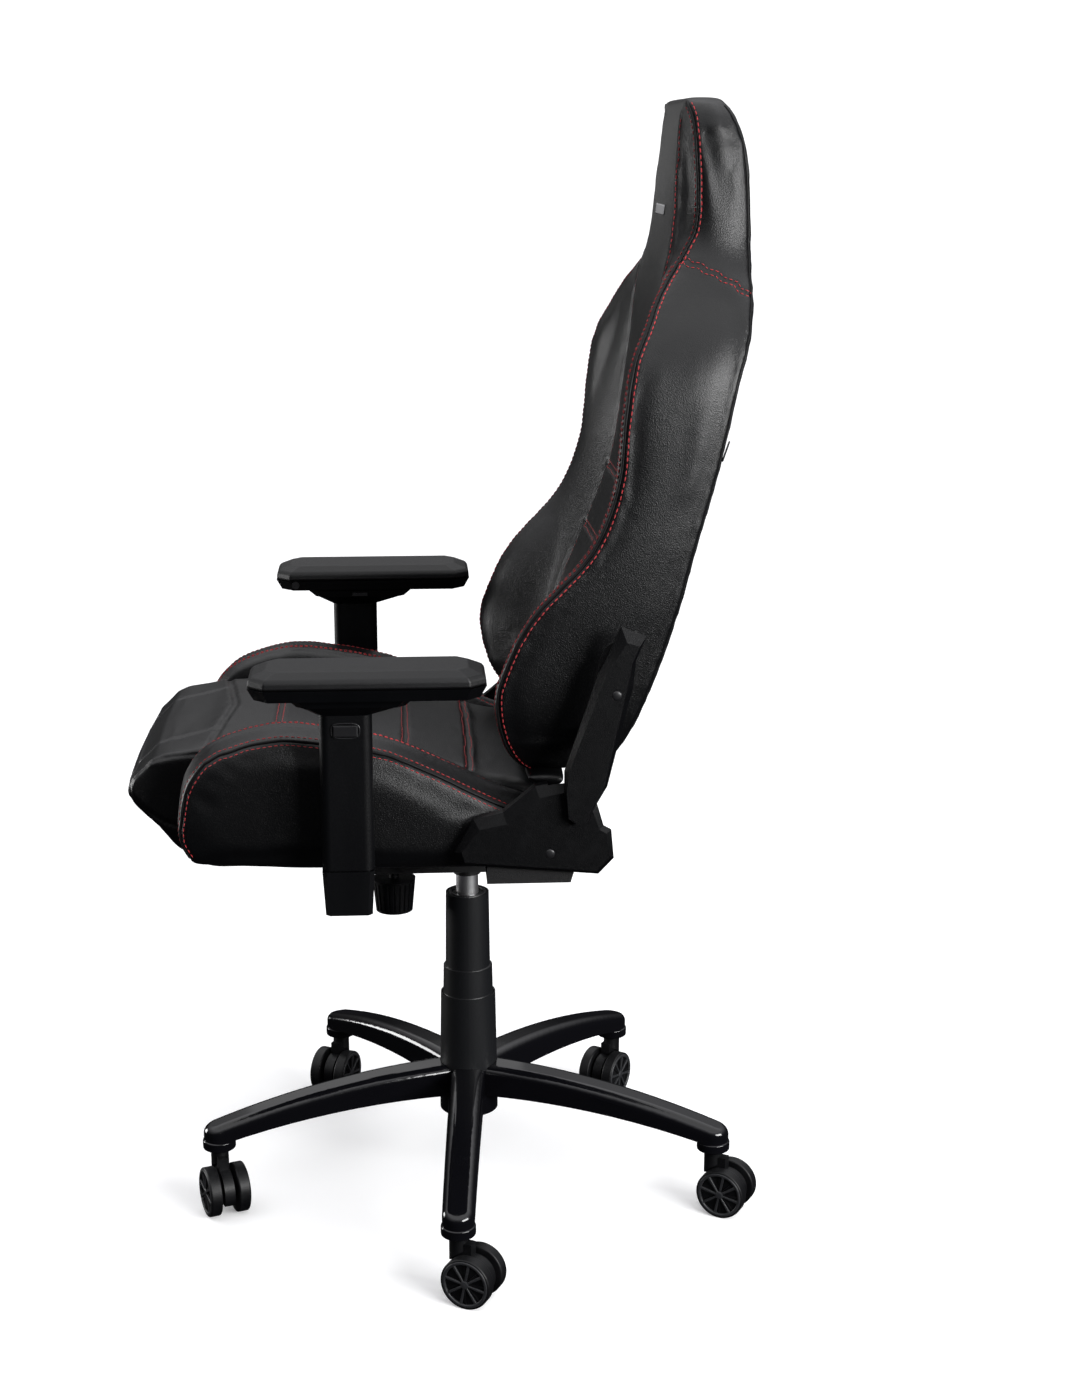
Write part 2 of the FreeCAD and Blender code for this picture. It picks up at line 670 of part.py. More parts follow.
def recliner():
    upper_outer = upper_plate_x + plate_thickness
    axis_point = vec(0, recline_y, recline_z)
    hole = rod(recline_shaft_radius + fit_gap, axis_point, axis_point + vec(upper_outer + overrun, 0, 0))

    flange_top = pan_bottom
    flange_bottom = flange_top - flange_thickness
    flange_rear = seat_rear - 2.0
    flange_front = flange_rear - flange_length
    eye = about_axis([(18.0, -8.0), (12.0, 12.0), (-12.0, 14.0), (-22.0, 0.0), (-70.0, -43.0)])
    foot = [(flange_front, flange_top + flange_thickness * 7), (flange_front, flange_bottom)]
    lower = side_slab(eye + foot + [(seat_rear + 15.0, flange_bottom)], lower_plate_x,
                      lower_plate_x + plate_thickness)
    flange_inner = seat_pan_half_width - flange_overlap
    flange_outer = lower_plate_x + plate_thickness
    flange = box(flange_inner, flange_outer, flange_front, flange_rear, flange_bottom, flange_top)
    save("recliner_lower_plates", *both_sides(lower.fuse(flange).removeSplitter().cut(hole)))

    skin_x = wing_cover_outer - wing_cover_skin
    shaft_end = vec(skin_x - part_gap, 0, 0)
    save("recliner_shaft", rod(recline_shaft_radius, axis_point - shaft_end, axis_point + shaft_end))

    upper = arm_strip(recliner_arm_half_width, recliner_arm_length, upper_plate_x, upper_outer).cut(hole)
    save("recliner_upper_plates", *both_sides(upper))
    wing_covers(skin_x)
    bracket_covers(upper_outer, axis_point)


def faceted_cover(outline, face, inner_x, outer_x, slope):
    """A plate with sloped facets between its outline and the smaller outline of its outer face."""
    rim_x = outer_x - slope
    rims = []
    for points, x in ((outline, rim_x), (face, outer_x)):
        corners = [vec(x, y, z) for y, z in points]
        rims.append(Part.makePolygon(corners + corners[:1]))
    return side_slab(outline, inner_x, rim_x).fuse(loft(*rims)).removeSplitter()


def wing_covers(skin_x):
    """Plastic covers over the lower plates and the recliner's round lock."""
    outline = about_axis([
        (-142.0, -62.0), (-120.0, -24.0), (-87.0, -16.0), (-51.0, 14.0), (-30.0, 18.0), (-8.0, 20.0),
        (18.0, 0.0), (27.0, -32.0), (36.0, -37.0), (39.0, -72.0), (21.0, -91.0), (-136.0, -77.0),
    ])
    room = about_axis([
        (-110.0, -68.0), (-75.0, -36.0), (-40.0, -8.0), (-32.0, 52.0), (120.0, 52.0), (120.0, -118.0),
        (-110.0, -118.0),
    ])
    face = about_axis([
        (-134.0, -60.0), (-114.0, -34.0), (-83.0, -28.0), (-46.0, 2.0), (-28.0, 6.0), (-12.0, 9.0),
        (10.0, -4.0), (21.0, -36.0), (29.0, -41.0), (33.0, -69.0), (18.0, -85.0), (-130.0, -72.0),
    ])
    wing = faceted_cover(outline, face, wing_cover_inner, wing_cover_outer, wing_cover_slope)
    wing = wing.cut(side_slab(room, wing_cover_inner - overrun, skin_x))
    boss_y, boss_z = recline_y - lever_hub_back, recline_z - lever_hub_drop - 10.0
    screw_boss = rod(screw_boss_radius, vec(lower_plate_x + plate_thickness, boss_y, boss_z),
                     vec(skin_x + overrun, boss_y, boss_z))
    wing = wing.fuse(screw_boss).removeSplitter()
    save("wing_cover_left", wing)
    save("wing_cover_right", mirrored(wing))


def bracket_covers(upper_outer, axis_point):
    """Plastic covers over the recliner arms, each held by two bosses."""
    inner_x = wing_cover_outer + part_gap + bracket_stand
    outer_x = inner_x + bracket_cover_thickness
    outline = about_axis([
        (-19.0, 34.0), (-19.0, 10.0), (-16.0, -20.0), (-4.0, -28.0), (7.0, -25.0), (14.0, -10.0),
        (29.0, 16.0), (57.0, 131.0), (60.0, 160.0), (71.0, 187.0), (43.0, 198.0), (26.0, 159.0),
        (18.0, 145.0),
    ])
    face = about_axis([
        (-14.0, 36.0), (-17.0, 10.0), (-14.5, -18.5), (-4.0, -26.0), (6.0, -23.0), (11.5, -9.0),
        (25.0, 17.0), (50.0, 131.0), (55.0, 158.0), (63.0, 177.0), (49.0, 181.0), (33.0, 157.0),
        (26.5, 146.0),
    ])
    bracket = faceted_cover(outline, face, inner_x, outer_x, bracket_cover_slope)
    for share in bracket_boss_shares:
        foot = vec(upper_outer, recline_y, recline_z + recliner_arm_length * share)
        boss = rod(screw_boss_radius, foot, foot + vec(inner_x - upper_outer + overrun, 0, 0))
        bracket = bracket.fuse(turned(boss, -back_lean, axis_point, BODY_X))
    bracket = bracket.removeSplitter()
    save("bracket_cover_left", bracket)
    save("bracket_cover_right", mirrored(bracket))


def recline_lever():
    """Round hub on the right wing cover, with a blade and a thicker grip that point forwards."""
    hub_x = -wing_cover_outer - part_gap
    hub = vec(hub_x, recline_y - lever_hub_back, recline_z - lever_hub_drop)
    lever = rod(lever_hub_radius, hub, hub - vec(lever_hub_thickness, 0, 0))

    def about_hub(outline):
        return [(hub.y + y, hub.z + z) for y, z in outline]

    blade = about_hub([(2.0, -11.5), (6.0, 11.0), (-115.0, 27.0), (-122.0, 17.0), (-110.0, 7.0)])
    grip = about_hub([(-75.0, 6.0), (-72.0, 24.0), (-138.0, 35.0), (-148.0, 25.0), (-140.0, 13.0)])
    blade_solid = side_slab(blade, hub_x - lever_hub_thickness, hub_x - lever_hub_thickness / 3)
    grip_solid = side_slab(grip, hub_x - lever_hub_thickness * 1.5, hub_x - lever_hub_thickness / 4)
    save("recline_lever", lever.fuse([blade_solid, grip_solid]).removeSplitter())


# ---------------------------------------------------------------- back
def bent_path(points, bend):
    """Straight runs joined by tangent arcs of one radius."""
    edges = []
    start = points[0]
    for before, corner, after in zip(points, points[1:], points[2:]):
        to_before = (before - corner).normalize()
        to_after = (after - corner).normalize()
        half_angle = to_before.getAngle(to_after) / 2
        bisector = (to_before + to_after).normalize()
        arc_start = corner + to_before * (bend / math.tan(half_angle))
        arc_end = corner + to_after * (bend / math.tan(half_angle))
        arc_middle = corner + bisector * (bend / math.sin(half_angle) - bend)
        edges.append(line_edge(start, arc_start))
        edges.append(Part.Arc(arc_start, arc_middle, arc_end).toShape())
        start = arc_end
    edges.append(line_edge(start, points[-1]))
    return Part.Wire(edges)


def back_frame_shape(clearance):
    """A bent tube hoop on a stout cross tube that reaches the recliner arms, with one thinner cross tube."""
    lean = math.tan(math.radians(back_lean))
    side = back_half_width - frame_inset
    top = head_half_width - head_tube_inset
    low_z = recline_z + cross_tube_rise
    middle_z = recline_z + middle_tube_rise
    high_z = neck_height - head_tube_inset

    def at(x, z):
        return vec(x, recline_y + (z - recline_z) * lean, z)

    corners = [at(-side, low_z), at(-side, shoulder_height), at(-top, high_z),
               at(top, high_z), at(side, shoulder_height), at(side, low_z)]
    circle = Part.makeCircle(frame_tube_radius + clearance, corners[0], corners[1] - corners[0])
    hoop = bent_path(corners, frame_bend_radius).makePipeShell([Part.Wire([circle])], True, False)
    low_tube = rod(frame_tube_radius + cross_tube_extra + clearance, at(-upper_plate_x, low_z),
                   at(upper_plate_x, low_z))
    middle_tube = rod(frame_tube_radius - middle_tube_less + clearance, at(-side, middle_z),
                      at(side, middle_z))
    return hoop.fuse([low_tube, middle_tube]).removeSplitter()


def back():
    """The upholstery is one solid, cut to its side and front outlines; each zone runs from 0 to 1."""
    save("back_frame", back_frame_shape(0.0))

    def up_back(share):
        return recline_z + shoulder_rise * share

    def up_shoulders(share):
        return shoulder_height + neck_rise * share

    def up_head(share):
        return neck_height + head_height * share

    side_outline = [
        (-56.0, up_back(0.029)), (-90.0, up_back(0.15)), (-94.0, up_back(0.248)), (-70.0, up_back(0.417)),
        (-19.0, up_back(0.575)), (29.0, up_back(0.716)), (43.0, up_back(0.867)), (52.0, up_shoulders(0.169)),
        (82.0, up_shoulders(0.692)), (124.0, up_head(0.0)), (130.0, up_head(0.489)), (124.0, up_head(0.878)),
        (142.0, back_top), (185.0, back_top), (202.0, up_head(0.794)), (212.0, up_head(0.1)),
        (208.0, up_shoulders(0.291)), (176.0, up_back(0.83)), (150.0, up_back(0.587)),
        (120.0, up_back(0.369)), (70.0, up_back(0.126)), (45.0, up_back(0.046)), (20.0, up_back(0.029)),
    ]
    side_points = [(recline_y + y, z) for y, z in side_outline]
    body = side_slab(side_points, -back_half_width - overrun, back_half_width + overrun)
    half = [
        (back_half_width - 66.0, up_back(0.024)), (back_half_width - 16.0, up_back(0.126)),
        (back_half_width - 6.0, up_back(0.272)), (back_half_width, up_back(0.66)),
        (back_half_width, shoulder_height), (back_half_width - 20.0, up_shoulders(0.349)),
        (back_half_width - 66.0, up_shoulders(0.686)), (head_half_width, neck_height),
        (head_half_width - 8.0, up_head(0.656)), (head_half_width - 22.0, up_head(0.906)),
        (head_half_width - 45.0, back_top + overrun),
    ]
    outline = half + [(-x, z) for x, z in reversed(half)]
    rear = max(y for y, z in side_points)
    front = min(y for y, z in side_points)
    cushion = body.common(front_slab(outline, front - overrun, rear + overrun))
    save("back_cushion", cushion.cut(back_frame_shape(soft_gap)))


# ---------------------------------------------------------------- armrests
def arm_post():
    """Seat bar, boss and post of the left armrest, and the sleeve and button that ride on the post."""
    x, y = arm_x, post_y
    boss_bottom = pan_bottom - boss_drop
    boss_top = boss_bottom + boss_height
    sleeve_bottom = boss_top + sleeve_gap
    sleeve_top = sleeve_bottom + sleeve_height
    boss_corner = sleeve_corner / 2
    boss = loft(chamfered_plan(sleeve_thickness - boss_taper, sleeve_depth - 3 * boss_taper, boss_corner,
                               x, y, boss_bottom),
                chamfered_plan(sleeve_thickness, sleeve_depth, boss_corner, x, y, boss_top))
    bar = box(seat_pan_half_width - bar_overlap, x, y - bar_depth / 2, y + bar_depth / 2,
              pan_bottom - bar_thickness, pan_bottom)
    bore_x = sleeve_thickness - 2 * sleeve_wall
    bore_y = sleeve_depth - 2 * sleeve_wall
    post = rounded_block(bore_x - 2 * part_gap, bore_y - 2 * part_gap, boss_top - overrun,
                         sleeve_top - post_headroom, post_corner, x, y)

    sleeve = rounded_block(sleeve_thickness, sleeve_depth, sleeve_bottom, sleeve_top, sleeve_corner, x, y)
    bore = rounded_block(bore_x, bore_y, sleeve_bottom - overrun, sleeve_top - sleeve_lid,
                         post_corner + part_gap, x, y)
    button_z = sleeve_top - height_button_drop
    outer_x = x + sleeve_thickness / 2
    half_width, half_height = height_button_width / 2, height_button_height / 2
    hole = box(outer_x - sleeve_wall - overrun, outer_x + overrun,
               y - half_width - part_gap, y + half_width + part_gap,
               button_z - half_height - part_gap, button_z + half_height + part_gap)
    button = box(outer_x - sleeve_wall - button_travel - overrun, outer_x + button_travel,
                 y - half_width, y + half_width, button_z - half_height, button_z + half_height)
    face_edges = [e for e in button.Edges if e.BoundBox.XMin > outer_x]
    return {
        "arm_frames": boss.fuse([bar, post]).removeSplitter(),
        "arm_sleeve": sleeve.cut(bore).cut(hole),
        "height_button": button.makeFillet(height_button_round, face_edges),
    }, sleeve_top


def arm_top(sleeve_top):
    """Flared top, turn plate, cross slide and pad of the left armrest."""
    x = arm_x
    plate_y = post_y + turn_offset
    mount_top = sleeve_top + mount_height
    mount = loft(chamfered_plan(sleeve_thickness, sleeve_depth, 6.0, x, post_y, sleeve_top),
                 chamfered_plan(mount_width, mount_length, 10.0, x, plate_y, mount_top))

    turn_bottom = mount_top + part_gap
    stud_top = turn_bottom + turn_stud_height
    stud = upright(turn_stud_radius, mount_top - overrun, stud_top, x, post_y)
    stud_hole = upright(turn_stud_radius + part_gap, turn_bottom - overrun, stud_top + part_gap, x, post_y)
    mount = mount.fuse(stud).removeSplitter()
    turn_top = turn_bottom + turn_height
    turn = loft(chamfered_plan(turn_width - turn_taper, turn_length - 20.0, 10.0, x, plate_y, turn_bottom),
                chamfered_plan(turn_width, turn_length, 12.0, x, plate_y, turn_top))
    inner_face = x - (turn_width - turn_taper) / 2
    half_length = turn_button_length / 2
    notch_bottom = turn_bottom + 2.0
    notch_top = notch_bottom + turn_button_height
    notch = box(inner_face - 8.0, inner_face + 8.0, plate_y - half_length - part_gap,
                plate_y + half_length + part_gap, notch_bottom, notch_top)
    turn_button = box(inner_face - 5.0, inner_face + 4.0, plate_y - half_length, plate_y + half_length,
                      notch_bottom + part_gap, notch_top - part_gap)

    slide_bottom = turn_top + part_gap
    slide_top = slide_bottom + slide_thickness
    slide_y = post_y + slide_offset
    slide = rounded_block(slide_width, slide_length, slide_bottom, slide_top, 8.0, x, slide_y)

    shell_bottom = slide_bottom + pad_shell_lift
    shell_top = shell_bottom + pad_shell_height
    shell = loft(chamfered_plan(pad_width - 10.0, pad_length - 14.0, pad_corner - 2.0, pad_x, pad_y,
                                shell_bottom),
                 chamfered_plan(pad_width, pad_length, pad_corner, pad_x, pad_y, shell_top))
    tray = centred_box(slide_width + 26.0, slide_length + 70.0, shell_bottom - overrun, slide_top + part_gap,
                       pad_x, slide_y)
    shell_outer = pad_x - pad_width / 2
    button_at = vec(shell_outer + 6.0, pad_y - pad_length / 2 + pad_button_back, shell_bottom + 8.0)
    button_hole = rod(pad_button_radius + part_gap, button_at + vec(button_travel + overrun, 0, 0),
                      button_at - vec(10.0, 0, 0))
    pad_button = rod(pad_button_radius, button_at - vec(1.0, 0, 0), button_at - vec(7.0, 0, 0))

    top = shell_top + pad_height
    pad = loft(chamfered_plan(pad_width, pad_length, pad_corner, pad_x, pad_y, shell_top),
               chamfered_plan(pad_width - 4.0, pad_length - 6.0, pad_corner - 1.0, pad_x, pad_y,
                              top - pad_bevel),
               chamfered_plan(pad_width - 26.0, pad_length - 40.0, pad_corner - 6.0, pad_x, pad_y, top))
    return {
        "arm_mount": mount, "turn_plate": turn.cut([notch, stud_hole]), "turn_button": turn_button,
        "slide_plate": slide, "pad_shell": shell.cut([tray, button_hole]), "pad_button": pad_button,
        "pad_cushion": pad,
    }


def armrests():
    """Both armrests; the right one is the left one's mirror image."""
    pieces, sleeve_top = arm_post()
    pieces.update(arm_top(sleeve_top))
    save("arm_frames", *both_sides(pieces.pop("arm_frames")))
    for name, shape in pieces.items():
        save(name + "_left", shape)
        save(name + "_right", mirrored(shape))


star_base()
castors()
lift_column()
tilt_mechanism()
tension_knob()
lift_lever()
seat()
recliner()
recline_lever()
back()
armrests()

os.makedirs("parts", exist_ok=True)
for name, solids in nodes.items():
    shape = solids[0] if len(solids) == 1 else Part.makeCompound(solids)
    shape.exportStep("parts/%s.step" % name)
print(len(nodes), "nodes")
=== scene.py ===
import json
import math

import bmesh
import bpy
from mathutils import Matrix, Vector, noise
from mathutils.bvhtree import BVHTree
from mathutils.kdtree import KDTree

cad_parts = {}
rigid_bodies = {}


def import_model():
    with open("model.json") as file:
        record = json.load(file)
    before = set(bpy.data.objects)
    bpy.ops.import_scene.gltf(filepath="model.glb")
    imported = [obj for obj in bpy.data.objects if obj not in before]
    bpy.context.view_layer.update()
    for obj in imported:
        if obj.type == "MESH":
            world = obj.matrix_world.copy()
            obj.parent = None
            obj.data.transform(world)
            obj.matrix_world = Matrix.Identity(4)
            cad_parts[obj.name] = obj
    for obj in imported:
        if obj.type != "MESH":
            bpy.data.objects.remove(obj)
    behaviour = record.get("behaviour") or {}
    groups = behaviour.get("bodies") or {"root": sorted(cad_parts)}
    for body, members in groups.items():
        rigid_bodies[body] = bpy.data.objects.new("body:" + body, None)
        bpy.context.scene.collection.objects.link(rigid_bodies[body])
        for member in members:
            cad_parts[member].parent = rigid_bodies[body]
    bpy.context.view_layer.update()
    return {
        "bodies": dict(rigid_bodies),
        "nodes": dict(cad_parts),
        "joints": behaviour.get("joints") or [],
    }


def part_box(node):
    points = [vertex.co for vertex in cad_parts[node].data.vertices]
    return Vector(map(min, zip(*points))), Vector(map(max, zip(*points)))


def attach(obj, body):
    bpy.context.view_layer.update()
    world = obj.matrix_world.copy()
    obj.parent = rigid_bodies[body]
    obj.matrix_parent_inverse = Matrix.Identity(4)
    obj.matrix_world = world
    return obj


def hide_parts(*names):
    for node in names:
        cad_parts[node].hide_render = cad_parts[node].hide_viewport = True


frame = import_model()

# ---------------------------------------------------------------- camera
# The chair is seen from its left side and a little from the front, from standing height.
camera = bpy.data.objects.new("camera", bpy.data.cameras.new("camera"))
bpy.context.scene.collection.objects.link(camera)
camera.location = (2.6332, -0.0740, 1.3002)
camera.rotation_euler = Vector((-0.9674, 0.0610, -0.2458)).to_track_quat("-Z", "Y").to_euler()
camera.data.lens = 56.54
camera.data.sensor_width = 36.0
bpy.context.scene.camera = camera


# ---------------------------------------------------------------- star base
# The five-legged base is one moulding of glass-filled nylon, polished in the tool to a deep gloss.
# It has fine dust, a few hairline scratches and a slight ripple that only its reflections show.
class Signal:
    """A socket of numbers that takes part in sums; each step adds one Math node."""

    def __init__(self, finish, socket):
        self.finish = finish
        self.socket = socket

    def step(self, operation, *values):
        return self.finish.node("ShaderNodeMath", {"operation": operation}, dict(enumerate(values)))

    def __add__(self, other):
        return self.step("ADD", self, other)

    def __radd__(self, other):
        return self.step("ADD", other, self)

    def __sub__(self, other):
        return self.step("SUBTRACT", self, other)

    def __rsub__(self, other):
        return self.step("SUBTRACT", other, self)

    def __mul__(self, other):
        return self.step("MULTIPLY", self, other)

    def __rmul__(self, other):
        return self.step("MULTIPLY", other, self)

    def above(self, low, high):
        """0 below low, 1 above high, and a straight slope between them."""
        return self.finish.node(
            "ShaderNodeMapRange", {"clamp": True}, {"Value": self, "From Min": low, "From Max": high}
        )


class Finish:
    """A material on one Principled shader, whose patterns follow the object's own coordinates."""

    def __init__(self, name, colour, roughness, metallic=0.0, coat=0.0, specular=0.5, sheen=0.0):
        self.material = bpy.data.materials.new(name)
        self.material.use_nodes = True
        self.tree = self.material.node_tree
        self.shader = self.tree.nodes["Principled BSDF"]
        self.place = self.node("ShaderNodeTexCoord", {}, {}, "Object")
        plain = {
            "Base Color": (*colour, 1.0), "Roughness": roughness, "Metallic": metallic,
            "Coat Weight": coat, "Coat Roughness": 0.06, "Specular IOR Level": specular,
            "Sheen Weight": sheen, "Sheen Roughness": 0.4,
        }
        for socket, value in plain.items():
            self.shader.inputs[socket].default_value = value

    def node(self, kind, settings, values, output=0):
        made = self.tree.nodes.new(kind)
        for setting, value in settings.items():
            setattr(made, setting, value)
        for socket, value in values.items():
            self.join(value, made.inputs[socket])
        return Signal(self, made.outputs[output])

    def join(self, value, socket):
        if isinstance(value, Signal):
            self.tree.links.new(value.socket, socket)
        else:
            socket.default_value = value

    def cloud(self, scale, detail=3.0, rough=0.55, stretch=None):
        """Soft noise between 0 and 1; stretch widens it along one axis."""
        place = self.place
        if stretch:
            place = self.node("ShaderNodeMapping", {}, {"Vector": place, "Scale": stretch})
        return self.node(
            "ShaderNodeTexNoise", {}, {"Vector": place, "Scale": scale, "Detail": detail, "Roughness": rough}
        )

    def cells(self, scale, feature="F1"):
        """Distance to the middle of the nearest of many small cells."""
        return self.node(
            "ShaderNodeTexVoronoi", {"feature": feature}, {"Vector": self.place, "Scale": scale}, "Distance"
        )

    def mix(self, share, first, second):
        made = self.tree.nodes.new("ShaderNodeMix")
        made.data_type = "RGBA"
        self.join(share, made.inputs[0])
        self.join((*first, 1.0) if isinstance(first, tuple) else first, made.inputs[6])
        self.join((*second, 1.0) if isinstance(second, tuple) else second, made.inputs[7])
        return Signal(self, made.outputs[2])

    def paint(self, colour=None, roughness=None, metallic=None, coat=None):
        wanted = {"Base Color": colour, "Roughness": roughness, "Metallic": metallic, "Coat Weight": coat}
        for socket, value in wanted.items():
            if value is not None:
                self.join(value, self.shader.inputs[socket])

    def relief(self, height, distance, strength=1.0):
        bump = self.node(
            "ShaderNodeBump", {}, {"Height": height, "Distance": distance, "Strength": strength}
        )
        self.join(bump, self.shader.inputs["Normal"])

    def on(self, *names):
        """Gives the finish to CAD nodes, in place of what they came with."""
        for name in names:
            mesh = frame["nodes"][name].data
            mesh.materials.clear()
            mesh.materials.append(self.material)


gloss = Finish("gloss_black_nylon", (0.003, 0.003, 0.004), 0.12, coat=0.25, specular=0.35)
dust = gloss.cells(900.0).above(0.10, 0.02) * gloss.cloud(40.0).above(0.45, 0.7)
scratch = gloss.cloud(160.0, 2.0, 0.5, (1.0, 14.0, 14.0)).above(0.66, 0.70)
smear = gloss.cloud(14.0, 4.0)
gloss.paint(
    colour=gloss.mix(dust * 0.5, (0.003, 0.003, 0.004), (0.05, 0.05, 0.05)),
    roughness=0.07 + smear * 0.10 + scratch * 0.10 + dust * 0.2,
)
gloss.relief(gloss.cloud(22.0, 1.0), 0.0004)
gloss.on("base_hub", "base_legs")

# ---------------------------------------------------------------- castors
# Each castor is a nylon fork between two wheels on one steel axle; the tyre is a softer ring.
# The wheel's outer face is a dish with eight thin ribs, moulded in one with the wheel.
nylon = Finish("castor_nylon", (0.0035, 0.0036, 0.0042), 0.42, specular=0.30)
nylon_grain = nylon.cloud(900.0, 2.0)
nylon_wear = nylon.cloud(60.0, 4.0).above(0.48, 0.75)
nylon.paint(
    colour=nylon.mix(nylon_wear * 0.4, (0.0030, 0.0031, 0.0037), (0.0090, 0.0092, 0.0100)),
    roughness=0.36 + nylon_grain * 0.14 + nylon_wear * 0.12,
)
nylon.relief(nylon_grain, 0.0003, 0.5)

rib_finish = Finish("castor_rib_grey", (0.022, 0.023, 0.025), 0.4, specular=0.5)
rib_mark = rib_finish.cloud(220.0, 3.0)
rib_finish.paint(
    colour=rib_finish.mix(rib_mark.above(0.4, 0.8), (0.020, 0.021, 0.023), (0.034, 0.034, 0.037)),
    roughness=0.34 + rib_mark * 0.16,
)
rib_finish.relief(rib_mark, 0.0003, 0.5)


def new_piece(name, mesh_maker, material, body, smooth=True):
    """A piece from a filled bmesh: its mesh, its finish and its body."""
    mesh = bpy.data.meshes.new(name)
    bmesh.ops.recalc_face_normals(mesh_maker, faces=mesh_maker.faces)
    for face in mesh_maker.faces:
        face.smooth = smooth
    mesh_maker.to_mesh(mesh)
    mesh_maker.free()
    mesh.materials.append(material)
    piece = bpy.data.objects.new(name, mesh)
    bpy.context.scene.collection.objects.link(piece)
    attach(piece, body)
    return piece


def turned_disc(profile, centre, axis, segments):
    """A solid of revolution: profile is (radius, distance along the axis) from the axis out and back."""
    work = bmesh.new()
    turn = axis.to_track_quat("Z", "Y").to_matrix().to_4x4()
    points = [work.verts.new((radius, 0.0, height)) for radius, height in profile]
    edges = [work.edges.new((first, second)) for first, second in zip(points, points[1:])]
    bmesh.ops.spin(
        work, geom=points + edges, cent=(0, 0, 0), axis=(0, 0, 1), angle=math.tau, steps=segments,
        use_merge=True,
    )
    bmesh.ops.remove_doubles(work, verts=work.verts, dist=0.00002)
    bmesh.ops.transform(work, matrix=Matrix.Translation(centre) @ turn, verts=work.verts)
    return work


rib_count = 8
rib_start_angle = 0.2
wheel_width = 0.0145
dish_depth = 0.0006
wheel_bodies = [name for name in frame["bodies"] if "_wheel_" in name]
for body in sorted(wheel_bodies):
    low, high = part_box(body)
    castor = next(joint for joint in frame["joints"] if joint["child"] == body)
    axis = Vector(castor["axis"]).normalized()
    centre = (low + high) / 2
    fork_axis = Vector(castor["pos_m"])
    if (centre - fork_axis).dot(axis) < 0:
        axis = -axis
    radius = (high.z - low.z) / 2
    face = centre + axis * (wheel_width / 2 - dish_depth)
    ring = turned_disc(
        [(radius * 0.80, -0.0020), (radius * 0.80, 0.0006), (radius * 0.83, 0.0012), (radius * 0.90, 0.0012),
         (radius * 0.925, 0.0006), (radius * 0.925, -0.0020), (radius * 0.80, -0.0020)],
        face, axis, 48,
    )
    new_piece(body + "_rim", ring, rib_finish.material, body)
    ribs = bmesh.new()
    side = axis.cross(Vector((0, 0, 1))).normalized()
    upward = side.cross(axis).normalized()
    for index in range(rib_count):
        angle = math.tau * index / rib_count + rib_start_angle
        outward = side * math.cos(angle) + upward * math.sin(angle)
        across = axis.cross(outward).normalized()
        inner, outer = radius * 0.13, radius * 0.83
        made = bmesh.ops.create_cube(ribs, size=1.0)["verts"]
        for corner in made:
            reach = outer if corner.co.x > 0 else inner
            width = (0.0016 if corner.co.x > 0 else 0.0011) * (1 if corner.co.y > 0 else -1)
            lift = 0.0008 if corner.co.z > 0 else -0.0018
            corner.co = face + outward * reach + across * width + axis * lift
    cap = turned_disc(
        [(0.0, 0.0016), (radius * 0.12, 0.0014), (radius * 0.17, 0.0006), (radius * 0.17, -0.0018),
         (0.0, -0.0018)],
        face, axis, 24,
    )
    cap_mesh = bpy.data.meshes.new("cap")
    cap.to_mesh(cap_mesh)
    cap.free()
    ribs.from_mesh(cap_mesh)
    bpy.data.meshes.remove(cap_mesh)
    bmesh.ops.bevel(
        ribs, geom=[e for e in ribs.edges if e.calc_length() > radius * 0.5], offset=0.0003,
        affect="EDGES", segments=1, profile=0.5, material=-1,
    )
    new_piece(body + "_ribs", ribs, rib_finish.material, body, smooth=False)
    nylon.on(body)
nylon.on(*["castor_%d_fork" % number for number in range(1, 6)])

# ---------------------------------------------------------------- lift column
# The gas spring is a painted tube with a hard-chromed rod; three satin sleeves telescope round it.
# The upper sleeve is closed by a black cap through which the rod comes out.
chrome = Finish("hard_chrome", (0.92, 0.92, 0.93), 0.3, metallic=1.0)
brushing = chrome.cloud(120.0, 2.0, 0.5, (1.0, 1.0, 30.0))
chrome.paint(roughness=0.28 + brushing * 0.14)
chrome.relief(brushing, 0.0002, 0.3)
chrome.on("gas_spring_piston")

tube_paint = Finish("tube_paint", (0.02, 0.02, 0.022), 0.35)
tube_orange = tube_paint.cloud(500.0, 2.0)
tube_paint.paint(roughness=0.28 + tube_orange * 0.15)
tube_paint.relief(tube_orange, 0.0003, 0.5)
tube_paint.on("gas_spring_tube")

sleeve_plastic = Finish("column_sleeve_plastic", (0.0062, 0.0066, 0.0076), 0.42, specular=0.40)
sleeve_spark = sleeve_plastic.cells(1500.0)
sleeve_wipe = sleeve_plastic.cloud(18.0, 4.0, 0.6, (1.0, 1.0, 0.25))
sleeve_plastic.paint(
    colour=sleeve_plastic.mix(sleeve_wipe, (0.0044, 0.0048, 0.0058), (0.0068, 0.0073, 0.0084)),
    roughness=0.36 + sleeve_wipe * 0.12,
)
sleeve_plastic.relief(sleeve_spark, 0.00025, 0.35)
sleeve_plastic.on("column_cover_lower", "column_cover_middle", "column_cover_upper")

